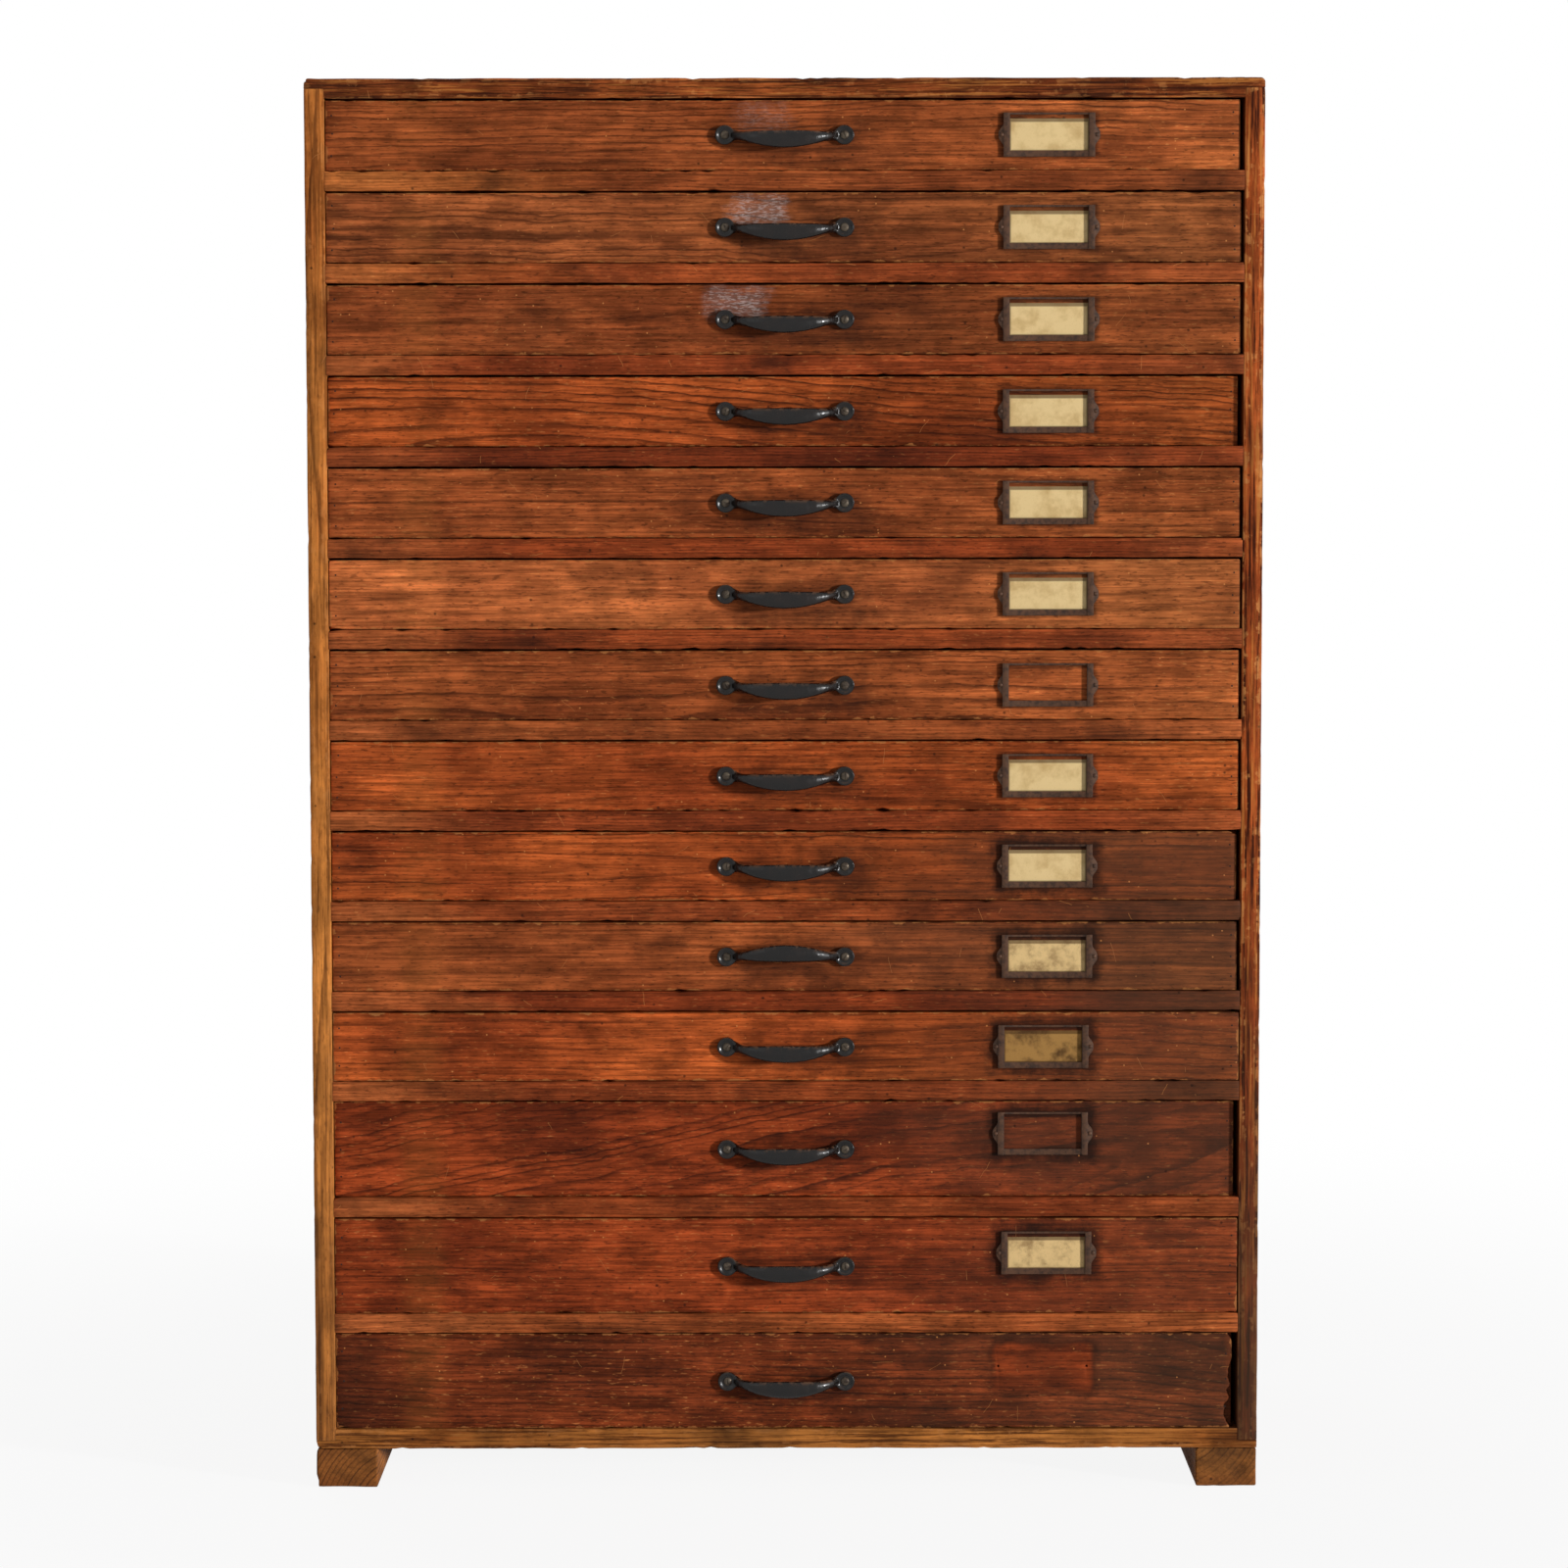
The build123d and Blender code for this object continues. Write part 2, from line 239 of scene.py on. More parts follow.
def openTree(tree):
    bench["tree"] = tree
    return tree


def newNode(kind):
    return bench["tree"].nodes.new("ShaderNode" + kind)


def put(socket, value):
    if isinstance(value, bpy.types.NodeSocket):
        bench["tree"].links.new(value, socket)
    else:
        socket.default_value = value


def calc(operation, *values, clamp=False):
    node = newNode("Math")
    node.operation = operation
    node.use_clamp = clamp
    for socket, value in zip(node.inputs, values):
        put(socket, value)
    return node.outputs[0]


def times(first, second):
    return calc("MULTIPLY", first, second)


def plus(first, second):
    return calc("ADD", first, second)


def minus(first, second):
    return calc("SUBTRACT", first, second)


def calcVector(operation, *values):
    node = newNode("VectorMath")
    node.operation = operation
    for socket, value in zip(node.inputs, values):
        put(socket, value)
    return node.outputs["Value" if operation in ("LENGTH", "DISTANCE", "DOT_PRODUCT") else "Vector"]


def stretch(vector, scales):
    return calcVector("MULTIPLY", vector, scales)


def splitVector(vector):
    node = newNode("SeparateXYZ")
    put(node.inputs[0], vector)
    return node.outputs


def joinVector(x, y, z):
    node = newNode("CombineXYZ")
    for socket, value in zip(node.inputs, (x, y, z)):
        put(socket, value)
    return node.outputs[0]


def cloud(vector, scale=1.0, detail=2.0, roughness=0.5, output="Fac"):
    node = newNode("TexNoise")
    put(node.inputs["Vector"], vector)
    node.inputs["Scale"].default_value = scale
    node.inputs["Detail"].default_value = detail
    node.inputs["Roughness"].default_value = roughness
    return node.outputs[output]


def cells(vector, scale, feature="F1"):
    node = newNode("TexVoronoi")
    node.feature = feature
    put(node.inputs["Vector"], vector)
    node.inputs["Scale"].default_value = scale
    return node.outputs


def ease(value, start, stop, low=0.0, high=1.0):
    node = newNode("MapRange")
    node.interpolation_type = "SMOOTHSTEP"
    for socket, number in zip(node.inputs, (value, start, stop, low, high)):
        put(socket, number)
    return node.outputs[0]


def mixColour(factor, first, second, blend="MIX"):
    node = newNode("Mix")
    node.data_type = "RGBA"
    node.blend_type = blend
    node.clamp_factor = True
    put(node.inputs[0], factor)
    put(node.inputs[6], first)
    put(node.inputs[7], second)
    return node.outputs[2]


def layOver(colour, mask, share, other):
    return mixColour(times(mask, share), colour, other)


def newGroup(name, inputs, outputs):
    tree = openTree(bpy.data.node_groups.new(name, "ShaderNodeTree"))
    for label, kind, value in inputs:
        socket = tree.interface.new_socket(name=label, in_out="INPUT", socket_type="NodeSocket" + kind)
        socket.default_value = value
    for label, kind in outputs:
        tree.interface.new_socket(name=label, in_out="OUTPUT", socket_type="NodeSocket" + kind)
    return tree.nodes.new("NodeGroupInput").outputs, tree.nodes.new("NodeGroupOutput").inputs


def useGroup(name, **values):
    node = newNode("Group")
    node.node_tree = bpy.data.node_groups[name]
    for label, value in values.items():
        put(node.inputs[label], value)
    return node.outputs


def buildFirGrain():
    # growth rings of a log cut by the board: X runs along the grain, Y into the face, Z across
    given, made = newGroup("firGrain", [
        ("place", "Vector", (0, 0, 0)), ("seed", "Float", 0.0), ("ringGap", "Float", 0.004),
        ("pithDepth", "Float", 0.03), ("pithHeight", "Float", 0.0), ("slope", "Float", 0.0),
        ("taper", "Float", 0.0), ("swing", "Float", 0.01), ("ripple", "Float", 0.002),
    ], [
        ("lines", "Float"), ("fibre", "Float"), ("tone", "Float"), ("streaks", "Float"), ("mottle", "Float"),
        ("pores", "Float"), ("flecks", "Float"),
    ])
    shift = calcVector("SCALE", (1.7, 0.9, 2.3))
    put(shift.node.inputs["Scale"], given["seed"])
    place = calcVector("ADD", given["place"], shift)
    x, y, z = splitVector(given["place"])
    longWave = splitVector(cloud(stretch(place, (2.0, 0.5, 1.5)), 1, 1, output="Color"))
    shortWave = cloud(stretch(place, (13.0, 4.0, 10.0)), 1, 1)
    jitter = cloud(stretch(place, (50.0, 20.0, 90.0)), 1, 2)

    def centred(value, size):
        return times(minus(value, 0.5), times(size, 2.0))

    across = minus(z, given["pithHeight"])
    across = calc("MULTIPLY_ADD", x, given["slope"], across)
    across = plus(across, centred(longWave[0], given["swing"]))
    across = plus(across, centred(shortWave, given["ripple"]))
    across = plus(across, centred(jitter, times(given["ringGap"], 0.28)))
    deep = plus(y, given["pithDepth"])
    deep = calc("MULTIPLY_ADD", x, given["taper"], deep)
    deep = plus(deep, centred(longWave[1], given["swing"]))
    reach = calcVector("LENGTH", joinVector(across, deep, 0.0))
    uneven = cloud(joinVector(reach, given["seed"], 0.0), 38, 1)
    rings = calc("MULTIPLY_ADD", uneven, 2.6, calc("DIVIDE", reach, given["ringGap"]))
    part = calc("FRACT", rings)
    late = times(
        ease(part, 0.55, 0.93), ease(part, 0.94, 1.0, 1.0, 0.0),
    )
    age = newNode("TexWhiteNoise")
    age.noise_dimensions = "1D"
    put(age.inputs["W"], plus(calc("FLOOR", rings), given["seed"]))
    fade = cloud(stretch(place, (7.0, 5.0, 22.0)), 1, 2)
    strength = times(ease(age.outputs["Value"], 0.0, 0.7, 0.45, 1.0), ease(fade, 0.3, 0.6, 0.5, 1.0))
    put(made["lines"], times(late, strength))
    put(made["streaks"], cloud(stretch(place, (2.2, 95.0, 120.0)), 1, 3, 0.6))
    put(made["fibre"], cloud(stretch(place, (14.0, 420.0, 460.0)), 1, 3, 0.65))
    put(made["mottle"], cloud(stretch(place, (26.0, 30.0, 52.0)), 1, 5, 0.62))
    poreField = cloud(stretch(place, (120.0, 300.0, 640.0)), 1, 2)
    put(made["pores"], ease(poreField, 0.58, 0.68))
    put(made["flecks"], ease(poreField, 0.27, 0.37, 1.0, 0.0))
    put(made["tone"], cloud(stretch(place, (5.0, 3.0, 12.0)), 1, 3, 0.55))


def buildWearMarks():
    # scratches, dark and pale specks, and stains of an old painted or oiled surface
    given, made = newGroup("wearMarks", [("place", "Vector", (0, 0, 0)), ("seed", "Float", 0.0)], [
        ("scratches", "Float"), ("darkSpecks", "Float"), ("paleSpecks", "Float"), ("stains", "Float"),
    ])
    shift = calcVector("SCALE", (0.7, 1.9, 1.1))
    put(shift.node.inputs["Scale"], given["seed"])
    place = calcVector("ADD", given["place"], shift)
    cell = cells(place, 21)
    chance = splitVector(cell["Color"])
    x, _, z = splitVector(calcVector("SUBTRACT", place, cell["Position"]))
    angle = times(chance[0], 6.28)
    cosine, sine = calc("COSINE", angle), calc("SINE", angle)
    along = calc("MULTIPLY_ADD", x, cosine, times(z, sine))
    beside = minus(times(z, cosine), times(x, sine))
    bend = times(minus(cloud(place, 90, 1), 0.5), 0.004)
    beside = calc("ABSOLUTE", plus(beside, bend))
    reach = times(times(chance[1], chance[1]), 0.01)
    line = times(ease(beside, 0.00008, 0.00034, 1.0, 0.0), calc(
        "LESS_THAN", calc("ABSOLUTE", along), reach,
    ))
    there = calc("GREATER_THAN", chance[2], 0.45)
    put(made["scratches"], times(line, there))
    for label, scale, radius, share in (("darkSpecks", 75, 0.15, 0.84), ("paleSpecks", 120, 0.13, 0.82)):
        spots = cells(place, scale)
        chosen = calc("GREATER_THAN", splitVector(spots["Color"])[0], share)
        put(made[label], times(ease(spots["Distance"], 0.3 * radius, radius, 1.0, 0.0), chosen))
    put(made["stains"], ease(cloud(place, 9, 4, 0.62), 0.5, 0.72))


def buildHaloOfGrimeShadeAndGlare():
    # dirt that hands and rain leave round a fitting, strongest at the fitting's own outline; the same mask also
    # places painted shade under the pulls and a painted glare on the upper fronts
    given, made = newGroup("haloOfGrimeShadeAndGlare", [
        ("place", "Vector", (0, 0, 0)), ("centre", "Vector", (0, 0, 0)), ("halfSize", "Vector", (0, 0, 0)),
        ("spread", "Float", 0.02),
    ], [("mask", "Float")])
    away = calcVector("ABSOLUTE", calcVector("SUBTRACT", given["place"], given["centre"]))
    away = calcVector("MAXIMUM", calcVector("SUBTRACT", away, given["halfSize"]), (0, 0, 0))
    x, _, z = splitVector(away)
    away = calcVector("LENGTH", joinVector(x, 0.0, z))
    rough = minus(cloud(given["place"], 60, 4, 0.65), 0.5)
    away = plus(away, times(rough, times(given["spread"], 1.6)))
    share = calc("DIVIDE", away, given["spread"])
    put(made["mask"], ease(share, 0.0, 1.0, 1.0, 0.0))


def buildEdgeBand():
    # nearness to the outline of a board's face, in X and Z, ragged by wear
    given, made = newGroup("edgeBand", [
        ("place", "Vector", (0, 0, 0)), ("low", "Vector", (0, 0, 0)), ("high", "Vector", (0, 0, 0)),
        ("width", "Float", 0.002), ("ragged", "Float", 1.0),
    ], [("mask", "Float")])
    fromLow = splitVector(calcVector("SUBTRACT", given["place"], given["low"]))
    fromHigh = splitVector(calcVector("SUBTRACT", given["high"], given["place"]))
    near = calc("MINIMUM", calc("MINIMUM", fromLow[0], fromHigh[0]), calc("MINIMUM", fromLow[2], fromHigh[2]))
    rough = minus(cloud(given["place"], 95, 4, 0.6), 0.5)
    rough = times(times(rough, given["ragged"]), given["width"])
    share = calc("DIVIDE", calc("MULTIPLY_ADD", rough, 4.0, near), given["width"])
    put(made["mask"], ease(share, 0.0, 1.0, 1.0, 0.0))


def halo(place, centre, halfSize, spread):
    return useGroup("haloOfGrimeShadeAndGlare", place=place, centre=centre, halfSize=halfSize, spread=spread)["mask"]


def edgeBand(place, low, high, width, ragged=1.0):
    return useGroup("edgeBand", place=place, low=low, high=high, width=width, ragged=ragged)["mask"]


for build in (buildFirGrain, buildWearMarks, buildHaloOfGrimeShadeAndGlare, buildEdgeBand):
    build()


# materials

# pale wood, dark wood and the late wood between, for each kind of board
woods = {
    "honey": (paint(206, 130, 60), paint(156, 86, 36), paint(78, 38, 16)),
    "tawny": (paint(186, 102, 54), paint(138, 70, 36), paint(74, 35, 17)),
    "chestnut": (paint(170, 88, 44), paint(120, 57, 27), paint(56, 25, 12)),
    "russet": (paint(178, 86, 38), paint(126, 54, 23), paint(60, 24, 10)),
    "oxblood": (paint(158, 68, 31), paint(106, 42, 19), paint(48, 18, 10)),
    "umber": (paint(156, 80, 36), paint(95, 42, 18), paint(38, 16, 9)),
    "peat": (paint(126, 56, 26), paint(79, 34, 16), paint(34, 15, 9)),
    "raw": (paint(206, 164, 112), paint(176, 130, 80), paint(138, 92, 50)),
}
# dark dirt; the same colour is painted shade in the holder's hollow and under the pulls
grimeAndShade = paint(26, 17, 13)
dust = paint(58, 42, 31)  # greyish dirt of the lower right
rubbedWood = paint(206, 136, 76)


def startMaterial(name):
    material = bpy.data.materials.new(name)
    material.use_nodes = True
    tree = openTree(material.node_tree)
    shader = next(node for node in tree.nodes if node.type == "BSDF_PRINCIPLED")
    return material, shader, newNode("TexCoord").outputs["Object"]


def finishSurface(shader, colour, roughness, height, distance, specular=0.05):
    put(shader.inputs["Base Color"], colour)
    put(shader.inputs["Roughness"], roughness)
    shader.inputs["Specular IOR Level"].default_value = specular
    bump = newNode("Bump")
    bump.inputs["Distance"].default_value = distance
    bump.inputs["Strength"].default_value = 1.0
    put(bump.inputs["Height"], height)
    put(shader.inputs["Normal"], bump.outputs[0])


def woodColour(wood, grain, lineStrength, fine=1.0):
    # fine: how much of the fibres, pores and flecks shows
    pale, dark, late = woods[wood]
    colour = mixColour(ease(grain["tone"], 0.26, 0.74), pale, dark)
    colour = layOver(colour, grain["lines"], lineStrength, late)
    colour = layOver(colour, grain["pores"], 0.4 * fine, late)
    colour = layOver(colour, grain["flecks"], 0.2 * fine, rubbedWood)
    shade = times(
        ease(grain["fibre"], 0.34, 0.66, 1 - 0.22 * fine, 1 + 0.24 * fine),
        ease(grain["streaks"], 0.36, 0.64, 1 - 0.12 * fine, 1 + 0.1 * fine),
    )
    shade = times(shade, ease(grain["mottle"], 0.37, 0.63, 0.77, 1.21))
    return mixColour(1.0, colour, joinVector(shade, shade, shade), "MULTIPLY")


def boardMaterial(
    name, wood, along=0, centre=(0, 0, 0), lineStrength=0.8, soil=0.5, seed=0.0, dark=0.0, marks=1.0,
    streaky=0.0, fine=1.0,
    footDirt=0.0, worn=0.0, node=None, boards=0, **grainValues,
):
    # a plain board: `along` is the axis of its grain
    material, shader, place = startMaterial(name)
    local = calcVector("SUBTRACT", place, centre)
    parts = splitVector(local)
    order = {0: (0, 1, 2), 1: (1, 0, 2), 2: (2, 1, 0)}[along]
    turned = joinVector(*[parts[index] for index in order])
    if boards:
        # each of several boards side by side shows another stretch of grain
        low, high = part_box(node)
        spot = times(minus(parts[0], low.x), boards / (high.x - low.x))
        turned = calcVector("ADD", turned, joinVector(times(calc("FLOOR", spot), 3.7), 0.0, 0.0))
    grain = useGroup("firGrain", place=turned, seed=seed, **grainValues)
    wear = useGroup("wearMarks", place=place, seed=seed)
    colour = woodColour(wood, grain, lineStrength, fine)
    if boards:
        fromSeam = minus(0.5, calc("ABSOLUTE", minus(calc("FRACT", spot), 0.5)))
        colour = mixColour(ease(fromSeam, 0.004, 0.014, 0.85, 0.0), colour, grimeAndShade)
    if streaky:
        # long stains and rubbed places that follow the grain, strongest on the face that looks forwards
        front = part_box(node)[0].y
        fadeAway = ease(parts[1], front + 0.002, front + 0.02, 1.0, 0.3)
        streak = cloud(calcVector("MULTIPLY_ADD", turned, (8.0, 150.0, 260.0), (seed, 0.0, 0.0)), 1, 4, 0.65)
        stained = times(ease(streak, 0.51, 0.6, 0.0, streaky), fadeAway)
        rubbed = times(ease(streak, 0.38, 0.46, 0.6 * streaky, 0.0), fadeAway)
        colour = mixColour(stained, colour, woods[wood][2])
        colour = mixColour(rubbed, colour, woods["honey"][0])
    if worn:
        # rubbed pale along the edges of the face that looks forwards
        low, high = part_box(node)
        band = edgeBand(place, low, high, 0.004, 2.2)
        band = times(band, ease(parts[1], low.y + 0.001, low.y + 0.004, worn, 0.0))
        colour = mixColour(times(band, ease(grain["fibre"], 0.4, 0.6)), colour, rubbedWood)
    colour = layOver(colour, wear["stains"], soil, grimeAndShade)
    colour = layOver(colour, wear["scratches"], 0.45 * marks, rubbedWood)
    colour = layOver(colour, wear["darkSpecks"], 0.75 * marks, grimeAndShade)
    if dark:
        colour = mixColour(dark, colour, grimeAndShade)
    if footDirt:
        height = calc("MULTIPLY_ADD", cloud(place, 14, 4), 0.5, splitVector(place)[2])
        colour = mixColour(ease(height, 0.3, 0.95, footDirt, 0.0), colour, dust)
    height = calc("MULTIPLY_ADD", grain["fibre"], 0.35, times(grain["lines"], 0.5))
    height = minus(height, wear["scratches"])
    finishSurface(shader, colour, ease(grain["tone"], 0.3, 0.7, 0.62, 0.8), height, 0.00025)
    return material


# each front's wood and grain, as judged: pith values in metres, seeds choose the pattern
frontLooks = {
    1: dict(
        wood="chestnut", ringGap=0.0056, pithDepth=0.04, pithHeight=-0.05, swing=0.016, ripple=0.0035,
        lines=0.8, level=0.79, right=1.74, middle=0.62,
    ),
    2: dict(
        wood="tawny", ringGap=0.0085, pithDepth=0.012, pithHeight=-0.004, taper=0.03, swing=0.018, ripple=0.006,
        lines=0.7, dark=0.14, blotch=0.45, level=0.86, right=0.92, middle=0.75,
    ),
    3: dict(
        wood="chestnut", ringGap=0.0035, pithDepth=0.16, pithHeight=-0.06, swing=0.01, ripple=0.001, lines=0.35,
        dark=0.1, blotch=0.25, level=0.91, right=1.11, middle=0.62,
    ),
    4: dict(
        wood="russet", ringGap=0.0056, pithDepth=0.06, pithHeight=-0.06, slope=0.07, swing=0.018, ripple=0.004,
        lines=0.9, dark=0.05, level=1.04, right=0.86, middle=0.78,
    ),
    5: dict(
        wood="chestnut", ringGap=0.0042, pithDepth=0.09, pithHeight=0.05, swing=0.01, ripple=0.002, lines=0.6,
        blotch=0.2, level=1.05, right=1, middle=0.8,
    ),
    6: dict(
        wood="tawny", ringGap=0.005, pithDepth=0.15, pithHeight=0.05, swing=0.012, ripple=0.0015, lines=0.3,
        blotch=0.2, level=1.17, right=0.72, middle=1.1,
    ),
    7: dict(
        wood="chestnut", ringGap=0.0056, pithDepth=0.05, pithHeight=-0.04, swing=0.014, ripple=0.003, lines=0.8,
        dark=0.03, level=0.96, right=1.4, middle=0.72,
    ),
    8: dict(
        wood="russet", ringGap=0.0036, pithDepth=0.1, pithHeight=-0.05, swing=0.01, ripple=0.001, lines=0.5,
        blotch=0.15, level=1.13, right=1.05, middle=0.82,
    ),
    9: dict(
        wood="russet", ringGap=0.0066, pithDepth=0.015, pithHeight=0.002, taper=0.028, swing=0.012,
        ripple=0.003, lines=0.8, dark=0.04, soot=0.7, level=1.1, right=1.19, middle=0.68,
    ),
    10: dict(
        wood="chestnut", ringGap=0.0036, pithDepth=0.1, pithHeight=-0.04, swing=0.008, ripple=0.001, lines=0.55,
        soot=0.7, blotch=0.3, level=1, right=1.26, middle=0.84,
    ),
    11: dict(
        wood="russet", ringGap=0.0048, pithDepth=0.07, pithHeight=0.05, swing=0.012, ripple=0.002, lines=0.6,
        soot=0.65, blotch=0.3, level=1.26, right=1.23, middle=0.56,
    ),
    12: dict(
        wood="oxblood", ringGap=0.009, pithDepth=0.02, pithHeight=-0.08, slope=-0.22, taper=0.04, swing=0.03,
        ripple=0.006, lines=0.8, soot=0.65, blotch=0.4, level=0.97, right=1.33, middle=1,
    ),
    13: dict(
        wood="oxblood", ringGap=0.0038, pithDepth=0.12, pithHeight=0.07, swing=0.012, ripple=0.001, lines=0.45,
        soot=0.4, blotch=0.35, level=0.98, right=1.22, middle=1.1,
    ),
    14: dict(
        wood="peat", ringGap=0.0052, pithDepth=0.08, pithHeight=0.07, slope=0.03, swing=0.02, ripple=0.002,
        lines=0.7, soot=0.6, blotch=0.4, level=1.39, right=1.12, middle=0.8,
    ),
}


# marks of single fronts: the lowest one's lost holder (a paler patch with two holes), a pale strip down the
# left, and a painted glare (a reflection of light off thick varnish) on the upper three
frontMarks = {
    "stripX": -0.352, "stripWidth": 0.03, "stripShare": 0.07,
    "paintedGlareRise": 0.019, "paintedGlare": {1: (-0.02, 0.12), 2: (-0.024, 0.45), 3: (-0.046, 0.42)},
    "ghostX": 0.2486, "ghostDrop": 0.0333, "ghostHalf": (0.044, 1.0, 0.0185), "ghostSpread": (0.016, 0.007),
    "holeX": (0.2059, 0.2918), "holeDrop": 0.0322,
}


# how much of each kind of dirt and wear a front shows (0 to 1), and its place and reach in metres; the pull's
# halo is partly painted shade under the pull:
# pairs are for the upper eight fronts and for the dirtier ones below
frontDirtAndShade = {
    "pull": 0.5, "pullShift": (0.018, -0.006), "pullHalf": (0.048, 1.0, 0.004), "pullSpread": 0.03,
    "card": (0.6, 0.85), "cardHalf": (0.044, 1.0, 0.019), "cardSpread": (0.006, 0.017),
    "cleanHalf": (0.037, 1.0, 0.013), "cleanSpread": 0.004, "dirtyFrom": 9,
    "rim": 0.45, "rimWidth": 0.0016, "worn": 0.4, "wornWidth": 0.0009,
    "fineGrain": 1.4, "stains": 0.28, "scratches": 0.4, "darkSpecks": 0.7, "paleSpecks": 0.75,
    "handX": 0.19, "handReach": (0.04, 0.13), "inner": 0.35, "innerDepth": (0.008, 0.018),
}


def frontMaterial(number, low, high, pullCentre, cardCentre):
    look, dirtAndShade = dict(frontLooks[number]), frontDirtAndShade
    wood, lines = look.pop("wood"), look.pop("lines")
    dark, soot, blotch = (look.pop(key, 0.0) for key in ("dark", "soot", "blotch"))
    right, level, middleLevel = look.pop("right"), look.pop("level"), look.pop("middle")
    material, shader, place = startMaterial(f"frontWood_{number:02d}")
    middle = ((low.x + high.x) / 2, low.y, (low.z + high.z) / 2)
    grain = useGroup("firGrain", place=calcVector("SUBTRACT", place, middle), seed=number * 1.37, **look)
    wear = useGroup("wearMarks", place=place, seed=number * 0.61)
    colour = woodColour(wood, grain, lines, dirtAndShade["fineGrain"])
    x, y, z = splitVector(place)
    patch = cloud(stretch(place, (6.0, 1.0, 16.0)), 1, 4, 0.6)
    # brighter or darker towards the right end
    side = ease(calc("MULTIPLY_ADD", patch, 0.3, x), -0.1, 0.5, level, right * level)
    # darkened by hands between the pull and the card
    offMiddle = calc("ABSOLUTE", calc("MULTIPLY_ADD", patch, 0.12, minus(x, dirtAndShade["handX"])))
    side = times(side, ease(offMiddle, *dirtAndShade["handReach"], middleLevel, 1.0))
    yellower = times(side, ease(x, 0.1, 0.4, 1.0, 1.1))
    colour = mixColour(1.0, colour, joinVector(side, yellower, yellower), "MULTIPLY")
    inner = mixColour(dirtAndShade["inner"], colour, woods["raw"][1])
    colour = layOver(colour, wear["stains"], dirtAndShade["stains"], grimeAndShade)
    if dark:
        colour = layOver(colour, patch, 2.0 * dark, grimeAndShade)
    if blotch:
        cloudy = cloud(calcVector("MULTIPLY_ADD", place, (16.0, 1.0, 42.0), (number, 0.0, 0.0)), 1, 5, 0.62)
        colour = mixColour(ease(cloudy, 0.5, 0.64, 0.0, blotch), colour, woods[wood][2])
    if soot:
        drift = ease(calc("MULTIPLY_ADD", patch, 0.5, x), 0.2, 0.62)
        colour = layOver(colour, drift, soot, dust)
    # the halo just under and right of the pull: partly dirt, partly painted shade under the pull
    smudge = (pullCentre[0] + dirtAndShade["pullShift"][0], pullCentre[1], pullCentre[2] + dirtAndShade["pullShift"][1])
    pullGrimeAndShade = halo(place, smudge, dirtAndShade["pullHalf"], dirtAndShade["pullSpread"])
    colour = layOver(colour, pullGrimeAndShade, dirtAndShade["pull"], grimeAndShade)
    if cardCentre:
        dirty = int(number >= dirtAndShade["dirtyFrom"])
        cardGrime = halo(place, cardCentre, dirtAndShade["cardHalf"], dirtAndShade["cardSpread"][dirty])
        clean = halo(place, cardCentre, dirtAndShade["cleanHalf"], dirtAndShade["cleanSpread"])
        cardGrime = calc("SUBTRACT", cardGrime, clean, clamp=True)
        colour = layOver(colour, cardGrime, dirtAndShade["card"][dirty], grimeAndShade)
    if number == 14:
        ghost = (frontMarks["ghostX"], low.y, high.z - frontMarks["ghostDrop"])
        ghostGrime = halo(place, ghost, frontMarks["ghostHalf"], frontMarks["ghostSpread"][0])
        colour = layOver(colour, ghostGrime, 0.65, grimeAndShade)
        patchMask = halo(place, ghost, frontMarks["ghostHalf"], frontMarks["ghostSpread"][1])
        bare = woodColour("oxblood", grain, 0.7)
        colour = mixColour(times(patchMask, ease(patch, 0.36, 0.6, 0.2, 0.85)), colour, bare)
        torn = ease(calc("MULTIPLY_ADD", patch, 0.012, x), high.x - 0.004, high.x + 0.004)
        colour = layOver(colour, torn, 0.3, paint(120, 56, 24))
        leftEnd = ease(calc("MULTIPLY_ADD", patch, 0.1, x), low.x + 0.05, low.x + 0.16, 0.6, 0.0)
        colour = mixColour(leftEnd, colour, grimeAndShade)
    strip = calc("ABSOLUTE", minus(x, frontMarks["stripX"]))
    strip = ease(strip, frontMarks["stripWidth"] * 0.3, frontMarks["stripWidth"], frontMarks["stripShare"], 0.0)
    colour = mixColour(times(strip, ease(patch, 0.3, 0.6)), colour, woods["honey"][0])
    # painted glare: a whitish reflection of light off thick varnish, painted into the colour above the pull
    if number in frontMarks["paintedGlare"]:
        glareX, glareShare = frontMarks["paintedGlare"][number]
        centre = (glareX, low.y, pullCentre[2] + frontMarks["paintedGlareRise"])
        paintedGlare = halo(place, centre, (0.016, 1.0, 0.002), 0.02)
        broken = cloud(stretch(place, (190.0, 1.0, 800.0)), 1, 4, 0.7)
        paintedGlare = times(paintedGlare, ease(broken, 0.48, 0.6, 0.2, 1.0))
        colour = layOver(colour, paintedGlare, glareShare, paint(204, 192, 188))
    rim = edgeBand(place, low, high, dirtAndShade["rimWidth"])
    colour = mixColour(times(rim, ease(y, low.y + 0.001, low.y + 0.003, dirtAndShade["rim"], 0.0)), colour, grimeAndShade)
    worn = edgeBand(place, low, high, dirtAndShade["wornWidth"], 3.4)
    colour = mixColour(
        times(worn, ease(y, low.y + 0.001, low.y + 0.003, dirtAndShade["worn"], 0.0)), colour, rubbedWood,
    )
    for kind, tint in (("scratches", rubbedWood), ("darkSpecks", grimeAndShade), ("paleSpecks", rubbedWood)):
        colour = layOver(colour, wear[kind], dirtAndShade[kind], tint)
    # the inner face has seen no hands, only some of the stain
    colour = mixColour(ease(minus(y, low.y), *dirtAndShade["innerDepth"]), colour, inner)
    height = calc("MULTIPLY_ADD", grain["fibre"], 0.3, times(grain["lines"], 0.6))
    height = minus(height, times(wear["scratches"], 0.8))
    finishSurface(shader, colour, ease(patch, 0.3, 0.7, 0.42, 0.6), height, 0.00025)
    return material


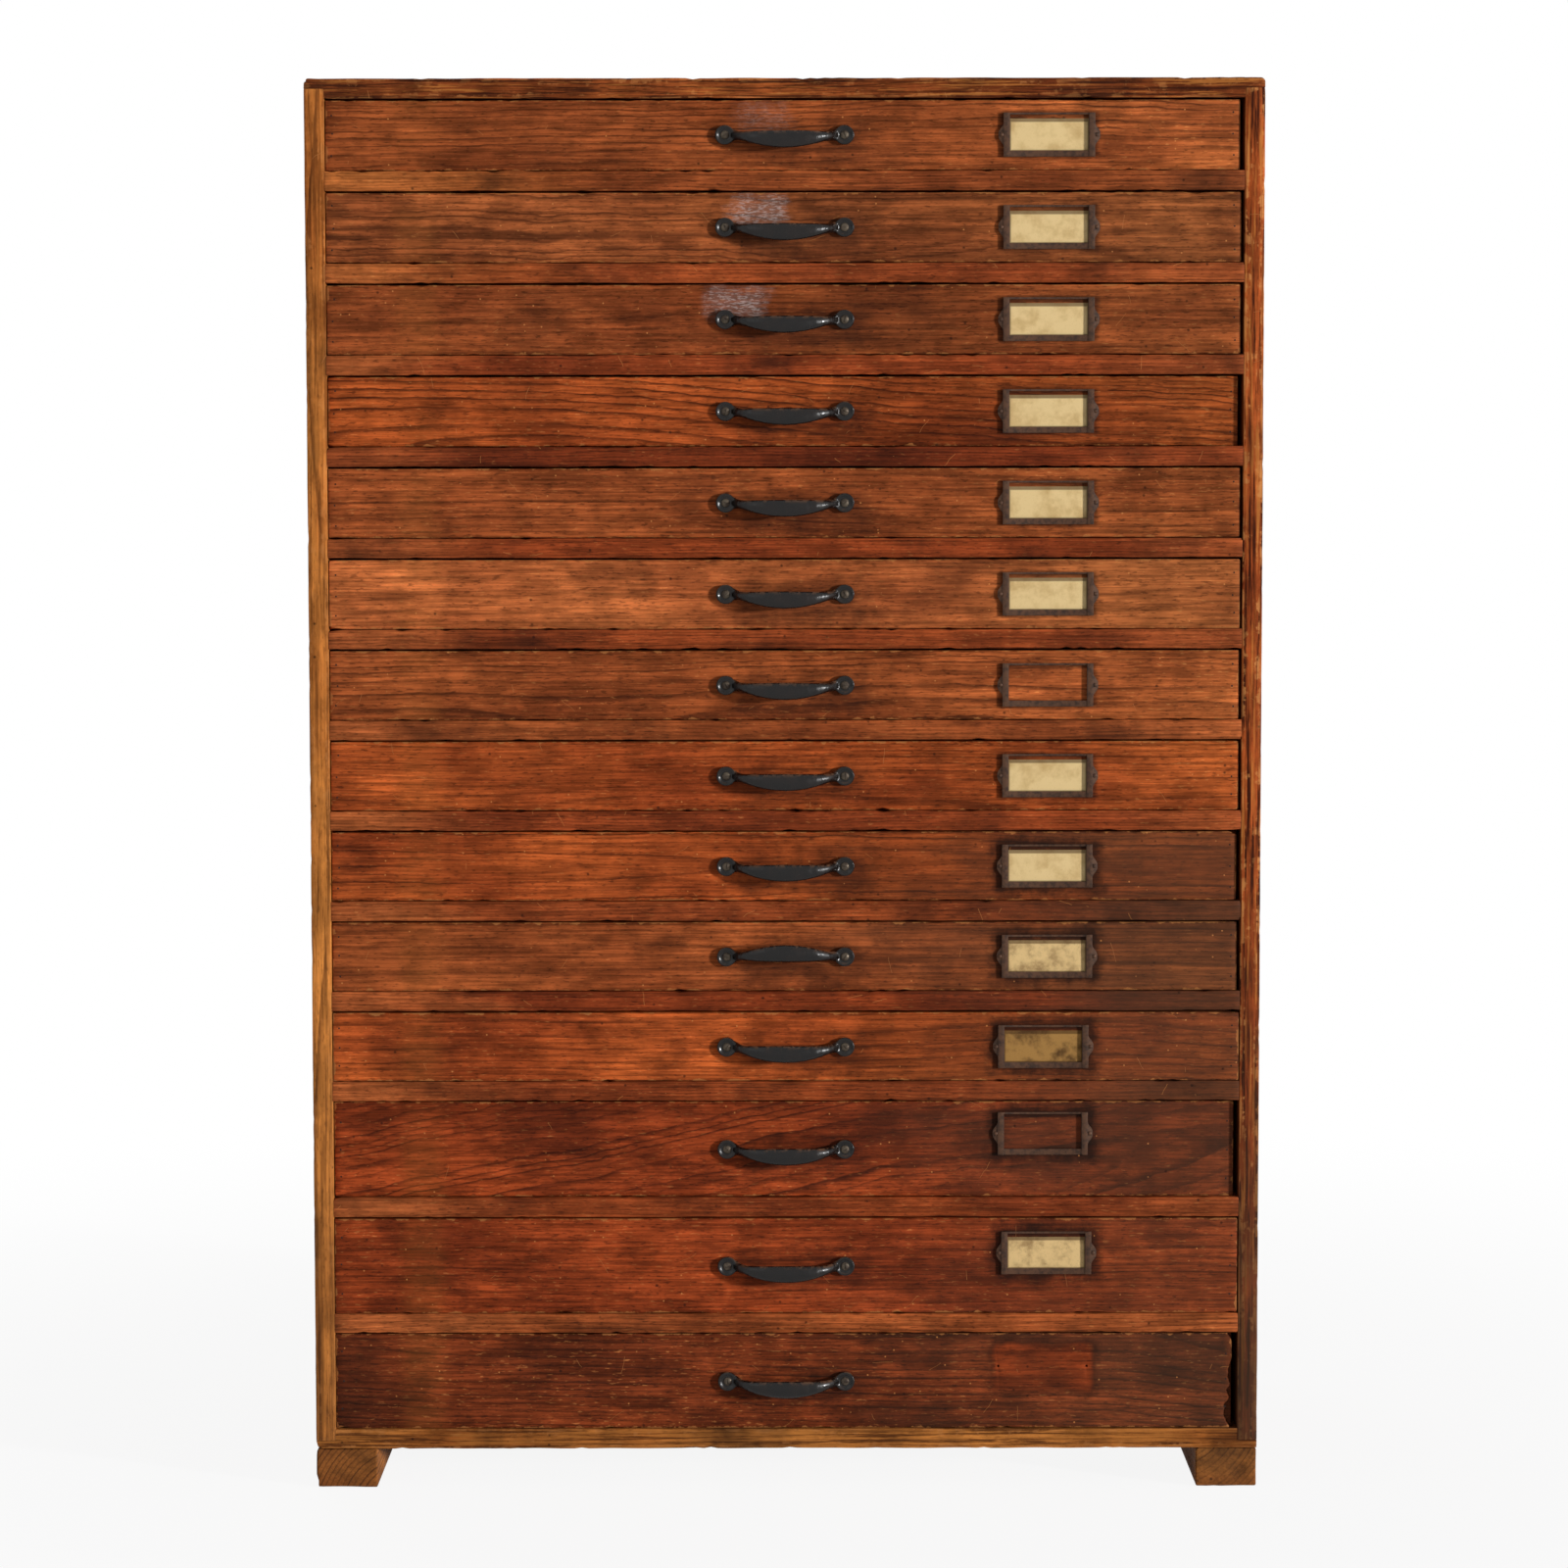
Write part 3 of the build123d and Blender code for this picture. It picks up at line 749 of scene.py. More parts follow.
def railMaterial():
    # one finish for all the rails: a number kept on each rail picks its tone
    material, shader, place = startMaterial("railWood")
    mark = newNode("Attribute")
    mark.attribute_name = "railTone"
    tone = mark.outputs["Fac"]
    shifted = calcVector("ADD", place, joinVector(times(tone, 9.0), 0.0, 0.0))
    grain = useGroup("firGrain", place=shifted, ringGap=0.003, pithDepth=0.5, swing=0.01, ripple=0.0012)
    wear = useGroup("wearMarks", place=shifted, seed=2.2)
    red = woodColour("oxblood", grain, 0.5, 1.3)
    brown = woodColour("chestnut", grain, 0.5, 1.3)
    ends = woodColour("tawny", grain, 0.5, 1.3)
    colour = mixColour(ease(tone, 0.1, 0.9), red, brown)
    colour = mixColour(ease(tone, 0.0, 0.35, 0.34, 0.1), colour, grimeAndShade)
    x, _, z = splitVector(place)
    ragged = cloud(stretch(shifted, (7.0, 1.0, 30.0)), 1, 3)
    near = minus(calc("ABSOLUTE", x), times(ragged, 0.2))
    share = times(ease(near, 0.16, 0.3, 0.0, 0.8), ease(x, -0.1, 0.1, 1.0, 0.5))
    share = times(share, ease(tone, 0.0, 0.3, 0.4, 1.0))
    colour = mixColour(share, colour, ends)
    pale = times(ease(calc("MULTIPLY_ADD", ragged, 0.3, x), -0.25, 0.02, 0.4, 0.0), ease(z, 1.05, 1.3))
    colour = mixColour(pale, colour, woodColour("honey", grain, 0.4))
    # sooty towards the right end of the lower rails
    drift = ease(calc("MULTIPLY_ADD", ragged, 0.3, x), 0.2, 0.55)
    drift = times(drift, times(ease(z, 0.3, 0.36), ease(z, 0.57, 0.62, 0.75, 0.0)))
    colour = mixColour(drift, colour, dust)
    colour = layOver(colour, wear["stains"], 0.5, grimeAndShade)
    colour = layOver(colour, wear["darkSpecks"], 0.7, grimeAndShade)
    colour = layOver(colour, wear["scratches"], 0.5, rubbedWood)
    height = calc("MULTIPLY_ADD", grain["fibre"], 0.35, times(grain["lines"], 0.4))
    finishSurface(shader, colour, ease(grain["tone"], 0.3, 0.7, 0.45, 0.62), height, 0.0002)
    return material


def ironMaterial():
    # black enamel on cast iron, rubbed and rusty along its upper edges
    material, shader, place = startMaterial("pullIron")
    up = splitVector(newNode("NewGeometry").outputs["Normal"])[2]
    patchy = cloud(place, 130, 4, 0.65)
    rubbed = times(ease(up, 0.25, 0.95), ease(patchy, 0.46, 0.6))
    colour = mixColour(ease(cloud(place, 60, 3), 0.4, 0.7), paint(10, 7, 6), paint(19, 12, 9))
    colour = layOver(colour, rubbed, 0.8, paint(104, 74, 54))
    height = calc("MULTIPLY_ADD", cloud(place, 420, 3), 0.6, times(rubbed, -0.5))
    roughness = ease(patchy, 0.35, 0.7, 0.2, 0.42)
    finishSurface(shader, colour, roughness, height, 0.0003, specular=0.3)
    return material


def metalMaterial(name, base, rubbed, metallic, roughness, hollowShade=False):
    material, shader, place = startMaterial(name)
    patchy = cloud(place, 210, 4, 0.6)
    colour = mixColour(ease(patchy, 0.35, 0.72), base, rubbed)
    if hollowShade:
        # a number kept on the plate: 1 in the hollow above the card, where painted shade darkens it
        mark = newNode("Attribute")
        mark.attribute_name = "hollowShade"
        colour = layOver(colour, mark.outputs["Fac"], 0.75, grimeAndShade)
    shader.inputs["Metallic"].default_value = metallic
    finishSurface(
        shader, colour, ease(patchy, 0.3, 0.7, roughness, roughness + 0.2), patchy, 0.00015, specular=0.3,
    )
    return material


def paperMaterial(name, base, stain, amount, seed):
    material, shader, place = startMaterial(name)
    moved = calcVector("ADD", place, (seed, 0.0, seed * 0.7))
    blot = cloud(moved, 45, 4, 0.65)
    colour = mixColour(times(ease(blot, 0.42, 0.72), amount), base, stain)
    dots = cells(moved, 420)
    speck = times(ease(dots["Distance"], 0.0, 0.3, 1.0, 0.0), 0.3)
    colour = mixColour(speck, colour, stain)
    # painted shade along the card's edges, where the holder's rim shades it: the card's own map runs from 0 to
    # 1
    sheet = newNode("UVMap")
    fromMiddle = calcVector("ABSOLUTE", calcVector("SUBTRACT", sheet.outputs[0], (0.5, 0.5, 0.0)))
    across, up, _ = splitVector(fromMiddle)
    margin = calc("MAXIMUM", ease(across, 0.447, 0.466), ease(up, 0.38, 0.42))
    colour = layOver(colour, margin, 0.7, paint(70, 46, 26))
    finishSurface(shader, colour, ease(blot, 0.3, 0.7, 0.85, 0.75), cloud(moved, 900, 2), 0.00005, specular=0.1)
    return material


materials = {
    "rail": railMaterial(),
    "top": boardMaterial(
        "topWood", "umber", 0, ringGap=0.0034, pithDepth=0.2, pithHeight=1.3, swing=0.014, ripple=0.001,
        lineStrength=0.9, soil=0.4, seed=3.1, streaky=0.75, worn=0.35, node="top_board",
    ),
    "bottom": boardMaterial(
        "bottomWood", "honey", 0, ringGap=0.0042, pithDepth=0.22, swing=0.012, ripple=0.001, lineStrength=0.75,
        soil=0.6, seed=5.7, dark=0.3, streaky=0.8, worn=0.5, node="bottom_board",
    ),
    "left": boardMaterial(
        "leftSideWood", "honey", 2, (-0.447, 0, 0.6), ringGap=0.0045, pithDepth=0.02, pithHeight=0.09,
        swing=0.012, ripple=0.0015, lineStrength=0.7, soil=0.3, seed=1.9, streaky=0.5, footDirt=0.35, worn=0.35,
        node="side_left",
    ),
    "right": boardMaterial(
        "rightSideWood", "russet", 2, (0.447, 0, 0.6), ringGap=0.0045, pithDepth=0.03, pithHeight=-0.11,
        swing=0.012, ripple=0.0015, lineStrength=0.7, soil=0.42, seed=8.3, dark=0.06, streaky=1.0, footDirt=0.8,
        worn=0.85, node="side_right",
    ),
    "leftSkid": boardMaterial(
        "leftSkidWood", "honey", 1, (-0.365, 0, -0.03), ringGap=0.0048, pithDepth=0.0, swing=0.003,
        ripple=0.001, lineStrength=0.8, soil=0.7, seed=4.4, dark=0.3, fine=0.7, footDirt=0.35,
    ),
    "rightSkid": boardMaterial(
        "rightSkidWood", "honey", 1, (0.37, 0, 0.08), ringGap=0.0052, pithDepth=0.0, swing=0.003, ripple=0.001,
        lineStrength=0.85, soil=0.8, seed=6.4, dark=0.32, fine=0.7, footDirt=0.4,
    ),
    "box": boardMaterial(
        "boxWood", "raw", 1, ringGap=0.005, pithDepth=0.4, swing=0.012, ripple=0.001, lineStrength=0.5,
        soil=0.2, seed=6.1,
    ),
    "back": boardMaterial(
        "backWood", "tawny", 2, ringGap=0.006, pithDepth=0.06, swing=0.03, ripple=0.002, lineStrength=0.6,
        soil=0.45, seed=7.7, dark=0.1, node="back_boards", boards=6,
    ),
    "runner": boardMaterial(
        "runnerWood", "raw", 1, ringGap=0.004, pithDepth=0.4, swing=0.01, ripple=0.001, lineStrength=0.5,
        soil=0.45, seed=2.7, dark=0.2,
    ),
    "iron": ironMaterial(),
    "holder": metalMaterial("holderMetal", paint(80, 52, 34), paint(44, 28, 19), 0.2, 0.45, hollowShade=True),
    "screw": metalMaterial("screwSteel", paint(84, 74, 62), paint(46, 36, 30), 0.6, 0.4),
    "nail": metalMaterial("nailIron", paint(20, 12, 8), paint(38, 22, 14), 0.0, 0.75),
    "card": paperMaterial("cardPaper", paint(222, 194, 140), paint(176, 138, 82), 0.6, 0.0),
    "dirtyCard": paperMaterial("dirtyCardPaper", paint(160, 120, 66), paint(66, 42, 22), 0.9, 3.0),
    "tornCard": paperMaterial("tornCardPaper", paint(218, 186, 130), paint(98, 62, 28), 0.7, 5.0),
}
print("materials built")


# carcase

caseSizes = {
    "board": 0.01905, "topLap": 0.0095, "bottomLip": 0.0075, "backRabbet": 0.0095, "runnerWidth": 0.0381,
    "railTenon": 0.0095, "tenonThick": 0.00635, "railStrip": 0.003, "step": 0.007,
    "cornerWear": 0.0045, "topEase": 0.0011, "bottomEase": 0.0009, "sideEase": 0.001, "railEase": 0.0008,
    "nearEdge": 0.002, "sideWear": 0.45, "overcut": 0.01, "fineCut": 0.001,
}
skidSizes = {"step": 0.006, "ease": 0.0018, "segments": 3, "wear": 1.5}


def makeTopBoard():
    sizes = caseSizes
    low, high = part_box("top_board")
    inner = high.x - sizes["board"]
    floor = low.z + sizes["topLap"]
    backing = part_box("side_right")[1].y - (high.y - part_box("back_boards")[0].y)
    piece = startBlock("topBoard", (low.x, low.y, floor), high)
    sliceAcross(piece, 0, (-inner, inner))
    extrudeFaces(piece, lambda c, n: n.z < -0.9 and abs(c.x) < inner, (0, 0, -sizes["topLap"]))
    cut, reach = sizes["overcut"], inner + sizes["backRabbet"]
    rear = startBlock("rearRabbet", (-reach, backing, low.z - cut), (reach, high.y + cut, floor))
    cutAway(piece, rear)
    makeActive(piece)
    bpy.ops.object.mode_set(mode="EDIT")
    bpy.ops.mesh.select_all(action="DESELECT")
    bpy.ops.mesh.select_mode(type="EDGE")
    bpy.ops.object.mode_set(mode="OBJECT")
    spots = piece.data.vertices
    for edge in piece.data.edges:
        ends = [spots[index].co for index in edge.vertices]
        edge.select = all(end.z > high.z - 1e-5 and abs(end.x) > high.x - 1e-5 for end in ends)
    bpy.ops.object.mode_set(mode="EDIT")
    bpy.ops.mesh.bevel(offset=sizes["cornerWear"], segments=5, affect="EDGES")
    bpy.ops.object.mode_set(mode="OBJECT")
    sliceAcross(piece, 0, spread(low.x, high.x, sizes["step"]))
    easeEdges(piece, sizes["topEase"])
    wearDown(piece, lambda spot: spot.y < low.y + frontDepth or abs(spot.x) > high.x - frontDepth)
    shadeByAngle(piece)
    dress(piece, materials["top"], "cabinet", "case_wood", "top_board")


def makeBottomBoard():
    sizes = caseSizes
    low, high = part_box("bottom_board")
    inner = high.x - sizes["board"]
    lip = low.z + sizes["bottomLip"]
    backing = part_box("back_boards")[0].y
    piece = startBlock("bottomBoard", low, (high.x, high.y, lip))
    sliceAcross(piece, 0, (-inner, inner))
    extrudeFaces(piece, lambda c, n: n.z > 0.9 and abs(c.x) < inner, (0, 0, high.z - lip))
    cut, reach = sizes["overcut"], inner + sizes["backRabbet"]
    rear = startBlock("rearRabbet", (-reach, backing, lip), (reach, high.y + cut, high.z + cut))
    cutAway(piece, rear)
    sliceAcross(piece, 0, spread(low.x, high.x, sizes["step"]))
    easeEdges(piece, sizes["bottomEase"])
    wearDown(piece, lambda spot: spot.y < low.y + frontDepth)
    shadeByAngle(piece)
    dress(piece, materials["bottom"], "cabinet", "case_wood", "bottom_board")


def makeSide(node, name, finish):
    sizes = caseSizes
    low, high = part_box(node)
    sign = 1 if low.x > 0 else -1
    outer = max(abs(low.x), abs(high.x))
    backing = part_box("back_boards")[0].y
    piece = startBlock(name, low, (high.x, backing, high.z))
    edge = outer - sizes["board"] + sizes["backRabbet"]
    sliceAcross(piece, 0, (sign * edge,))
    extrudeFaces(piece, lambda c, n: n.y > 0.9 and abs(c.x) > edge, (0, high.y - backing, 0))
    sliceAcross(piece, 2, spread(low.z, high.z, sizes["step"]))
    easeEdges(piece, sizes["sideEase"])
    wearDown(
        piece, lambda spot: spot.y < low.y + frontDepth and abs(spot.x) > outer - frontDepth, sizes["sideWear"],
    )
    shadeByAngle(piece)
    dress(piece, materials[finish], "cabinet", "case_wood", node)


# from dark red to brown, top to bottom, as judged
railTones = (1.0, 0.47, 0.34, 0.0, 0.3, 0.42, 0.9, 0.36, 0.5, 0.2, 0.44, 0.42, 0.8)


def makeRails():
    sizes = caseSizes
    solids = sorted(looseCopies("front_rails"), key=lambda piece: -cornersOf(piece)[1].z)
    for index, solid in enumerate(solids):
        start, end = cornersOf(solid)
        bpy.data.objects.remove(solid)
        piece = startBlock(f"frontRail_{index + 1:02d}", start, end)
        middle = (start.z + end.z) / 2
        half = sizes["tenonThick"] / 2
        for side in (-1, 1):
            reach = sorted((side * (end.x + sizes["fineCut"]), side * (end.x - sizes["runnerWidth"])))
            cutAway(piece, startBlock(
                "mortise", (reach[0], end.y - sizes["railTenon"], middle - half),
                (reach[1], end.y + sizes["fineCut"], middle + half),
            ))
        sliceAcross(piece, 0, spread(start.x, end.x, sizes["step"]))
        sliceAcross(piece, 2, (start.z + sizes["railStrip"], end.z - sizes["railStrip"]))
        easeEdges(piece, sizes["railEase"])
        front = start.y + frontDepth
        wearDown(
            piece, lambda spot: spot.y < front and min(spot.z - start.z, end.z - spot.z) < sizes["nearEdge"],
        )
        shadeByAngle(piece)
        tone = piece.data.attributes.new("railTone", "FLOAT", "POINT")
        tone.data.foreach_set("value", [railTones[index]] * len(piece.data.vertices))
        dress(piece, materials["rail"], "cabinet", "case_wood", "front_rails")


def makeSkid(node, name):
    sizes = skidSizes
    low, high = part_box(node)
    piece = startBlock(name, low, high)
    sliceAcross(piece, 0, spread(low.x, high.x, sizes["step"]))
    sliceAcross(piece, 2, spread(low.z, high.z, sizes["step"]))
    easeEdges(piece, sizes["ease"], sizes["segments"])
    wearDown(piece, lambda spot: spot.y < low.y + frontDepth, sizes["wear"])
    shadeByAngle(piece)
    dress(piece, materials[name], "cabinet", "skid_wood", node)


makeTopBoard()
makeBottomBoard()
makeSide("side_left", "leftSide", "left")
makeSide("side_right", "rightSide", "right")
makeRails()
makeSkid("skid_left", "leftSkid")
makeSkid("skid_right", "rightSkid")
for node, finish in (
    ("back_boards", "back"), ("runners_left", "runner"), ("runners_right", "runner"),
    ("drawer_stops", "runner"), ("skid_screws", "screw"),
):
    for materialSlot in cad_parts[node].material_slots:
        materialSlot.material = materials[finish]
print("carcase made")


# drawers

drawerSizes = {
    "frontThick": 0.01905, "frontLap": 0.007, "sideThick": 0.0127, "grooveDepth": 0.0055,
    "panelRaise": 0.007, "panelThick": 0.00635, "sideDrop": 0.006, "backDado": 0.005, "slack": 0.00015,
    "step": 0.007, "edgeStrip": 0.003, "nearEdge": 0.002, "ease": 0.0008, "boxEase": 0.0007, "wear": 0.8,
    "overcut": 0.001, "pullDrop": 0.002,
}
chewSizes = {
    "start": 0.0012, "past": 0.02, "margin": 0.01, "depth": 0.0065, "rows": 0.0022, "columns": 0.003,
    "strength": -0.009, "middle": 0.3, "holeRadius": 0.0012, "holeDepth": 0.018,
}
nailSizes = {
    "radius": 0.001, "flatness": 0.25, "inset": 0.0064, "shares": (0.2, 0.5, 0.8), "sunk": 0.0001,
    "strayX": 0.001, "strayZ": 0.002,
}


def chewEnd(piece, low, high):
    # the lowest front's right end is broken away, and two pin holes stand empty
    sizes = chewSizes
    margin = sizes["margin"]
    start = Vector((high.x - sizes["start"], low.y - margin, low.z - margin))
    end = Vector((high.x + sizes["past"], low.y + sizes["depth"], high.z + margin))
    bite = startBlock("bite", start, end)
    sliceAcross(bite, 2, spread(low.z - margin, high.z + margin, sizes["rows"]))
    sliceAcross(bite, 1, spread(low.y - margin, low.y + sizes["depth"], sizes["columns"]))
    group = bite.vertex_groups.new(name="edge")
    group.add([spot.index for spot in bite.data.vertices if spot.co.x < high.x], 1.0, "REPLACE")
    applyModifier(
        bite, "DISPLACE", texture=wearTextures["chewed"], texture_coords="LOCAL", vertex_group="edge",
        direction="X", strength=sizes["strength"], mid_level=sizes["middle"],
    )
    cutAway(piece, bite)
    for x in frontMarks["holeX"]:
        clearSelection()
        bpy.ops.mesh.primitive_cylinder_add(
            vertices=20, radius=sizes["holeRadius"], depth=sizes["holeDepth"], rotation=(math.pi / 2, 0, 0),
            location=(x, low.y, high.z - frontMarks["holeDrop"]),
        )
        cutAway(piece, settle(bpy.context.active_object))


def makeFront(number):
    low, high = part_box(f"drawer_{number:02d}")
    sizes = drawerSizes
    inside = Vector((sizes["sideThick"], 0, 0))
    back = low.y + sizes["frontThick"]
    piece = startBlock(f"drawerFront_{number:02d}", low + inside, (high.x - sizes["sideThick"], back, high.z))
    sliceAcross(piece, 1, (low.y + sizes["frontLap"],))
    for sign in (-1, 1):
        extrudeFaces(
            piece, lambda c, n: n.x * sign > 0.9 and c.y < low.y + sizes["frontLap"],
            (sign * sizes["sideThick"], 0, 0),
        )
    grooveLow = low.z + sizes["panelRaise"]
    reach = sizes["sideThick"] - sizes["overcut"]
    cutAway(piece, startBlock(
        "groove", (low.x + reach, back - sizes["grooveDepth"], grooveLow),
        (high.x - reach, back + sizes["overcut"], grooveLow + sizes["panelThick"]),
    ))
    if number == 14:
        chewEnd(piece, low, high)
    sliceAcross(piece, 0, spread(low.x, high.x, sizes["step"]))
    sliceAcross(piece, 2, (low.z + sizes["edgeStrip"], high.z - sizes["edgeStrip"]))
    easeEdges(piece, sizes["ease"])
    front = low.y + frontDepth
    wearDown(
        piece, lambda spot: spot.y < front and min(spot.z - low.z, high.z - spot.z) < sizes["nearEdge"],
        sizes["wear"],
    )
    shadeByAngle(piece)
    pullCentre = (0.0, low.y, (low.z + high.z) / 2 - sizes["pullDrop"])
    cardCentre = None
    if number < 14:
        cardLow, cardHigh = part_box(f"card_holder_{number:02d}")
        cardCentre = (cardLow + cardHigh) / 2
    dress(
        piece, frontMaterial(number, low, high, pullCentre, cardCentre), f"drawer_unit_{number:02d}",
        "drawer_wood", f"drawer_{number:02d}",
    )
    return low, high


def makeBox(number, low, high):
    # two sides, back and bottom panel, grooved and rabbeted as the frame has them
    sizes = drawerSizes
    front, rear, top = low.y + sizes["frontLap"], high.y, high.z - sizes["sideDrop"]
    cut = sizes["overcut"]
    groove = (low.z + sizes["panelRaise"], low.z + sizes["panelRaise"] + sizes["panelThick"])
    dado = rear - sizes["sideThick"]
    boards = []
    for side in (-1, 1):
        outer = high.x if side > 0 else low.x
        inner = outer - side * sizes["sideThick"]

        def across(*reach):
            return sorted(inner + side * value for value in reach)

        (x0, x1), (g0, g1), (d0, d1) = (
            across(0, sizes["sideThick"]), across(-cut, sizes["grooveDepth"]), across(-cut, sizes["backDado"]),
        )
        board = startBlock("boxSide", (x0, front, low.z), (x1, rear, top))
        cutAway(
            board, startBlock("groove", (g0, front - cut, groove[0]), (g1, rear + cut, groove[1])),
            startBlock("rabbet", (d0, dado, groove[1]), (d1, rear + cut, top + cut)),
        )
        boards.append(board)
    left, right = low.x + sizes["sideThick"], high.x - sizes["sideThick"]
    boards.append(startBlock(
        "boxBack", (left - sizes["backDado"], dado, groove[1]), (right + sizes["backDado"], rear, top),
    ))
    reach, slack = sizes["grooveDepth"] - sizes["slack"], sizes["slack"]
    boards.append(startBlock(
        "boxPanel", (left - reach, low.y + sizes["frontThick"] - reach, groove[0] + slack),
        (right + reach, rear, groove[1] - slack),
    ))
    piece = joinPieces(f"drawerBox_{number:02d}", boards)
    easeEdges(piece, sizes["boxEase"])
    shadeByAngle(piece)
    dress(piece, materials["box"], f"drawer_unit_{number:02d}", "inner_wood", f"drawer_{number:02d}")


def makeNail():
    clearSelection()
    bpy.ops.mesh.primitive_uv_sphere_add(segments=10, ring_count=6, radius=nailSizes["radius"])
    nail = bpy.context.active_object
    nail.scale = (1, nailSizes["flatness"], 1)
    settle(nail)
    return nail


nailHead = makeNail()
for number in drawerNumbers:
    low, high = makeFront(number)
    makeBox(number, low, high)
    heads = []
    for x in (low.x + nailSizes["inset"], high.x - nailSizes["inset"]):
        for share in nailSizes["shares"]:
            strayX = random.uniform(-nailSizes["strayX"], nailSizes["strayX"])
            strayZ = random.uniform(-nailSizes["strayZ"], nailSizes["strayZ"])
            spot = (x + strayX, low.y + nailSizes["sunk"], low.z + (high.z - low.z) * share + strayZ)
            heads.append(copyPiece(nailHead, "head", spot))
    nails = joinPieces(f"drawerNails_{number:02d}", heads)
    shadeByAngle(nails)
    dress(nails, materials["nail"], f"drawer_unit_{number:02d}", "screw_steel")
bpy.data.objects.remove(nailHead)
print("drawers made")


# pulls

pullSizes = {
    "span": 0.114, "footRadius": 0.0093, "footHeight": 0.005, "footRim": 0.0017, "footDish": 0.0016,
    "reach": 0.020, "droop": 0.005, "gripHeight": 0.0168, "gripThick": 0.0086, "neckHeight": 0.0062,
    "neckThick": 0.006, "rootHeight": 0.012, "neckInset": 0.0075, "screwRadius": 0.0043, "screwRise": 0.0022,
    "slotWidth": 0.0011, "slotDepth": 0.001, "voxel": 0.00055, "turned": 10, "slotStep": 37.0,
}


def gripStation(share):
    # place, heading and half sizes of the casting's oval at a share of the way to a foot
    sizes = pullSizes
    root = sizes["span"] / 2 - sizes["neckInset"]
    out = 0.001 + (sizes["reach"] - 0.001) * (1 - share ** 4)
    heading = math.atan2(4 * (sizes["reach"] - 0.001) * share ** 3, root)
    swell = (1 - share ** 2) ** 1.3
    flare = max(0.0, (abs(share) - 0.8) / 0.2) ** 2
    tall = sizes["neckHeight"] + (sizes["gripHeight"] - sizes["neckHeight"]) * swell
    tall += (sizes["rootHeight"] - sizes["neckHeight"]) * flare
    thick = sizes["neckThick"] + (sizes["gripThick"] - sizes["neckThick"]) * swell
    return Vector((share * root, -out, -sizes["droop"] * (1 - share ** 2))), heading, tall / 2, thick / 2


def makeGrip():
    shares = [-1.0, -0.95, -0.88, -0.8, -0.7, -0.58, -0.4, -0.2, 0.0]
    shares += [-share for share in reversed(shares[:-1])]
    place, heading, tall, thick = gripStation(shares[0])
    clearSelection()
    bpy.ops.mesh.primitive_circle_add(
        vertices=20, radius=1.0, fill_type="NGON", location=place, rotation=(0, math.pi / 2, 0),
    )
    piece = bpy.context.active_object
    piece.scale = (tall, thick, 1)
    settle(piece)
    bpy.ops.object.mode_set(mode="EDIT")
    bpy.ops.mesh.select_all(action="SELECT")
    bpy.ops.transform.rotate(value=-heading, orient_axis="Z", center_override=place)
    for share in shares[1:]:
        nextPlace, nextHeading, nextTall, nextThick = gripStation(share)
        bpy.ops.mesh.extrude_region_move(TRANSFORM_OT_translate={"value": nextPlace - place})
        bpy.ops.transform.rotate(value=heading, orient_axis="Z", center_override=nextPlace)
        bpy.ops.transform.resize(value=(1, nextThick / thick, nextTall / tall), center_override=nextPlace)
        bpy.ops.transform.rotate(value=-nextHeading, orient_axis="Z", center_override=nextPlace)
        place, heading, tall, thick = nextPlace, nextHeading, nextTall, nextThick
    bpy.ops.mesh.select_all(action="SELECT")
    bpy.ops.mesh.normals_make_consistent(inside=False)
    bpy.ops.mesh.bisect(plane_co=(0, 0, 0), plane_no=(0, 1, 0), clear_outer=True, use_fill=True)
    bpy.ops.object.mode_set(mode="OBJECT")
    return piece


def makeFoot(x):
    sizes = pullSizes
    clearSelection()
    bpy.ops.mesh.primitive_cylinder_add(
        vertices=32, radius=sizes["footRadius"], depth=sizes["footHeight"],
        location=(x, -sizes["footHeight"] / 2, 0), rotation=(math.pi / 2, 0, 0),
    )
    piece = settle(bpy.context.active_object)
    editFaces(piece, lambda c, n: n.y < -0.9)
    bpy.ops.mesh.inset(thickness=sizes["footRim"])
    bpy.ops.mesh.inset(thickness=0.002)
    bpy.ops.transform.translate(value=(0, sizes["footDish"], 0))
    bpy.ops.object.mode_set(mode="OBJECT")
    easeEdges(piece, 0.0007, 2, 30)
    return piece


def makeCasting():
    half = pullSizes["span"] / 2
    piece = joinPieces("pullCasting", [makeGrip(), makeFoot(-half), makeFoot(half)])
    applyModifier(piece, "REMESH", mode="VOXEL", voxel_size=pullSizes["voxel"])
    applyModifier(piece, "SMOOTH", factor=0.5, iterations=6)
    applyModifier(piece, "DECIMATE", ratio=0.3)
    makeActive(piece)
    bpy.ops.object.shade_smooth()
    return piece


def startDome(segments, rings, radius, rise, flat):
    # half a flattened ball that looks towards -Y, cut off level at y = flat
    clearSelection()
    bpy.ops.mesh.primitive_uv_sphere_add(
        segments=segments, ring_count=rings, radius=1.0, rotation=(math.pi / 2, 0, 0),
    )
    piece = bpy.context.active_object
    piece.scale = (radius, radius, rise)
    settle(piece)
    bpy.ops.object.mode_set(mode="EDIT")
    bpy.ops.mesh.select_all(action="SELECT")
    bpy.ops.mesh.bisect(plane_co=(0, flat, 0), plane_no=(0, 1, 0), clear_outer=True, use_fill=True)
    bpy.ops.object.mode_set(mode="OBJECT")
    return piece


def makeScrewHead():
    sizes = pullSizes
    piece = startDome(24, 14, sizes["screwRadius"], sizes["screwRise"], 0.0003)
    half = sizes["slotWidth"] / 2
    cutAway(piece, startBlock(
        "slot", (-0.01, -0.01, -half), (0.01, sizes["slotDepth"] - sizes["screwRise"], half),
    ))
    easeEdges(piece, 0.00012, 1, 50)
    shadeByAngle(piece, 40)
    return piece


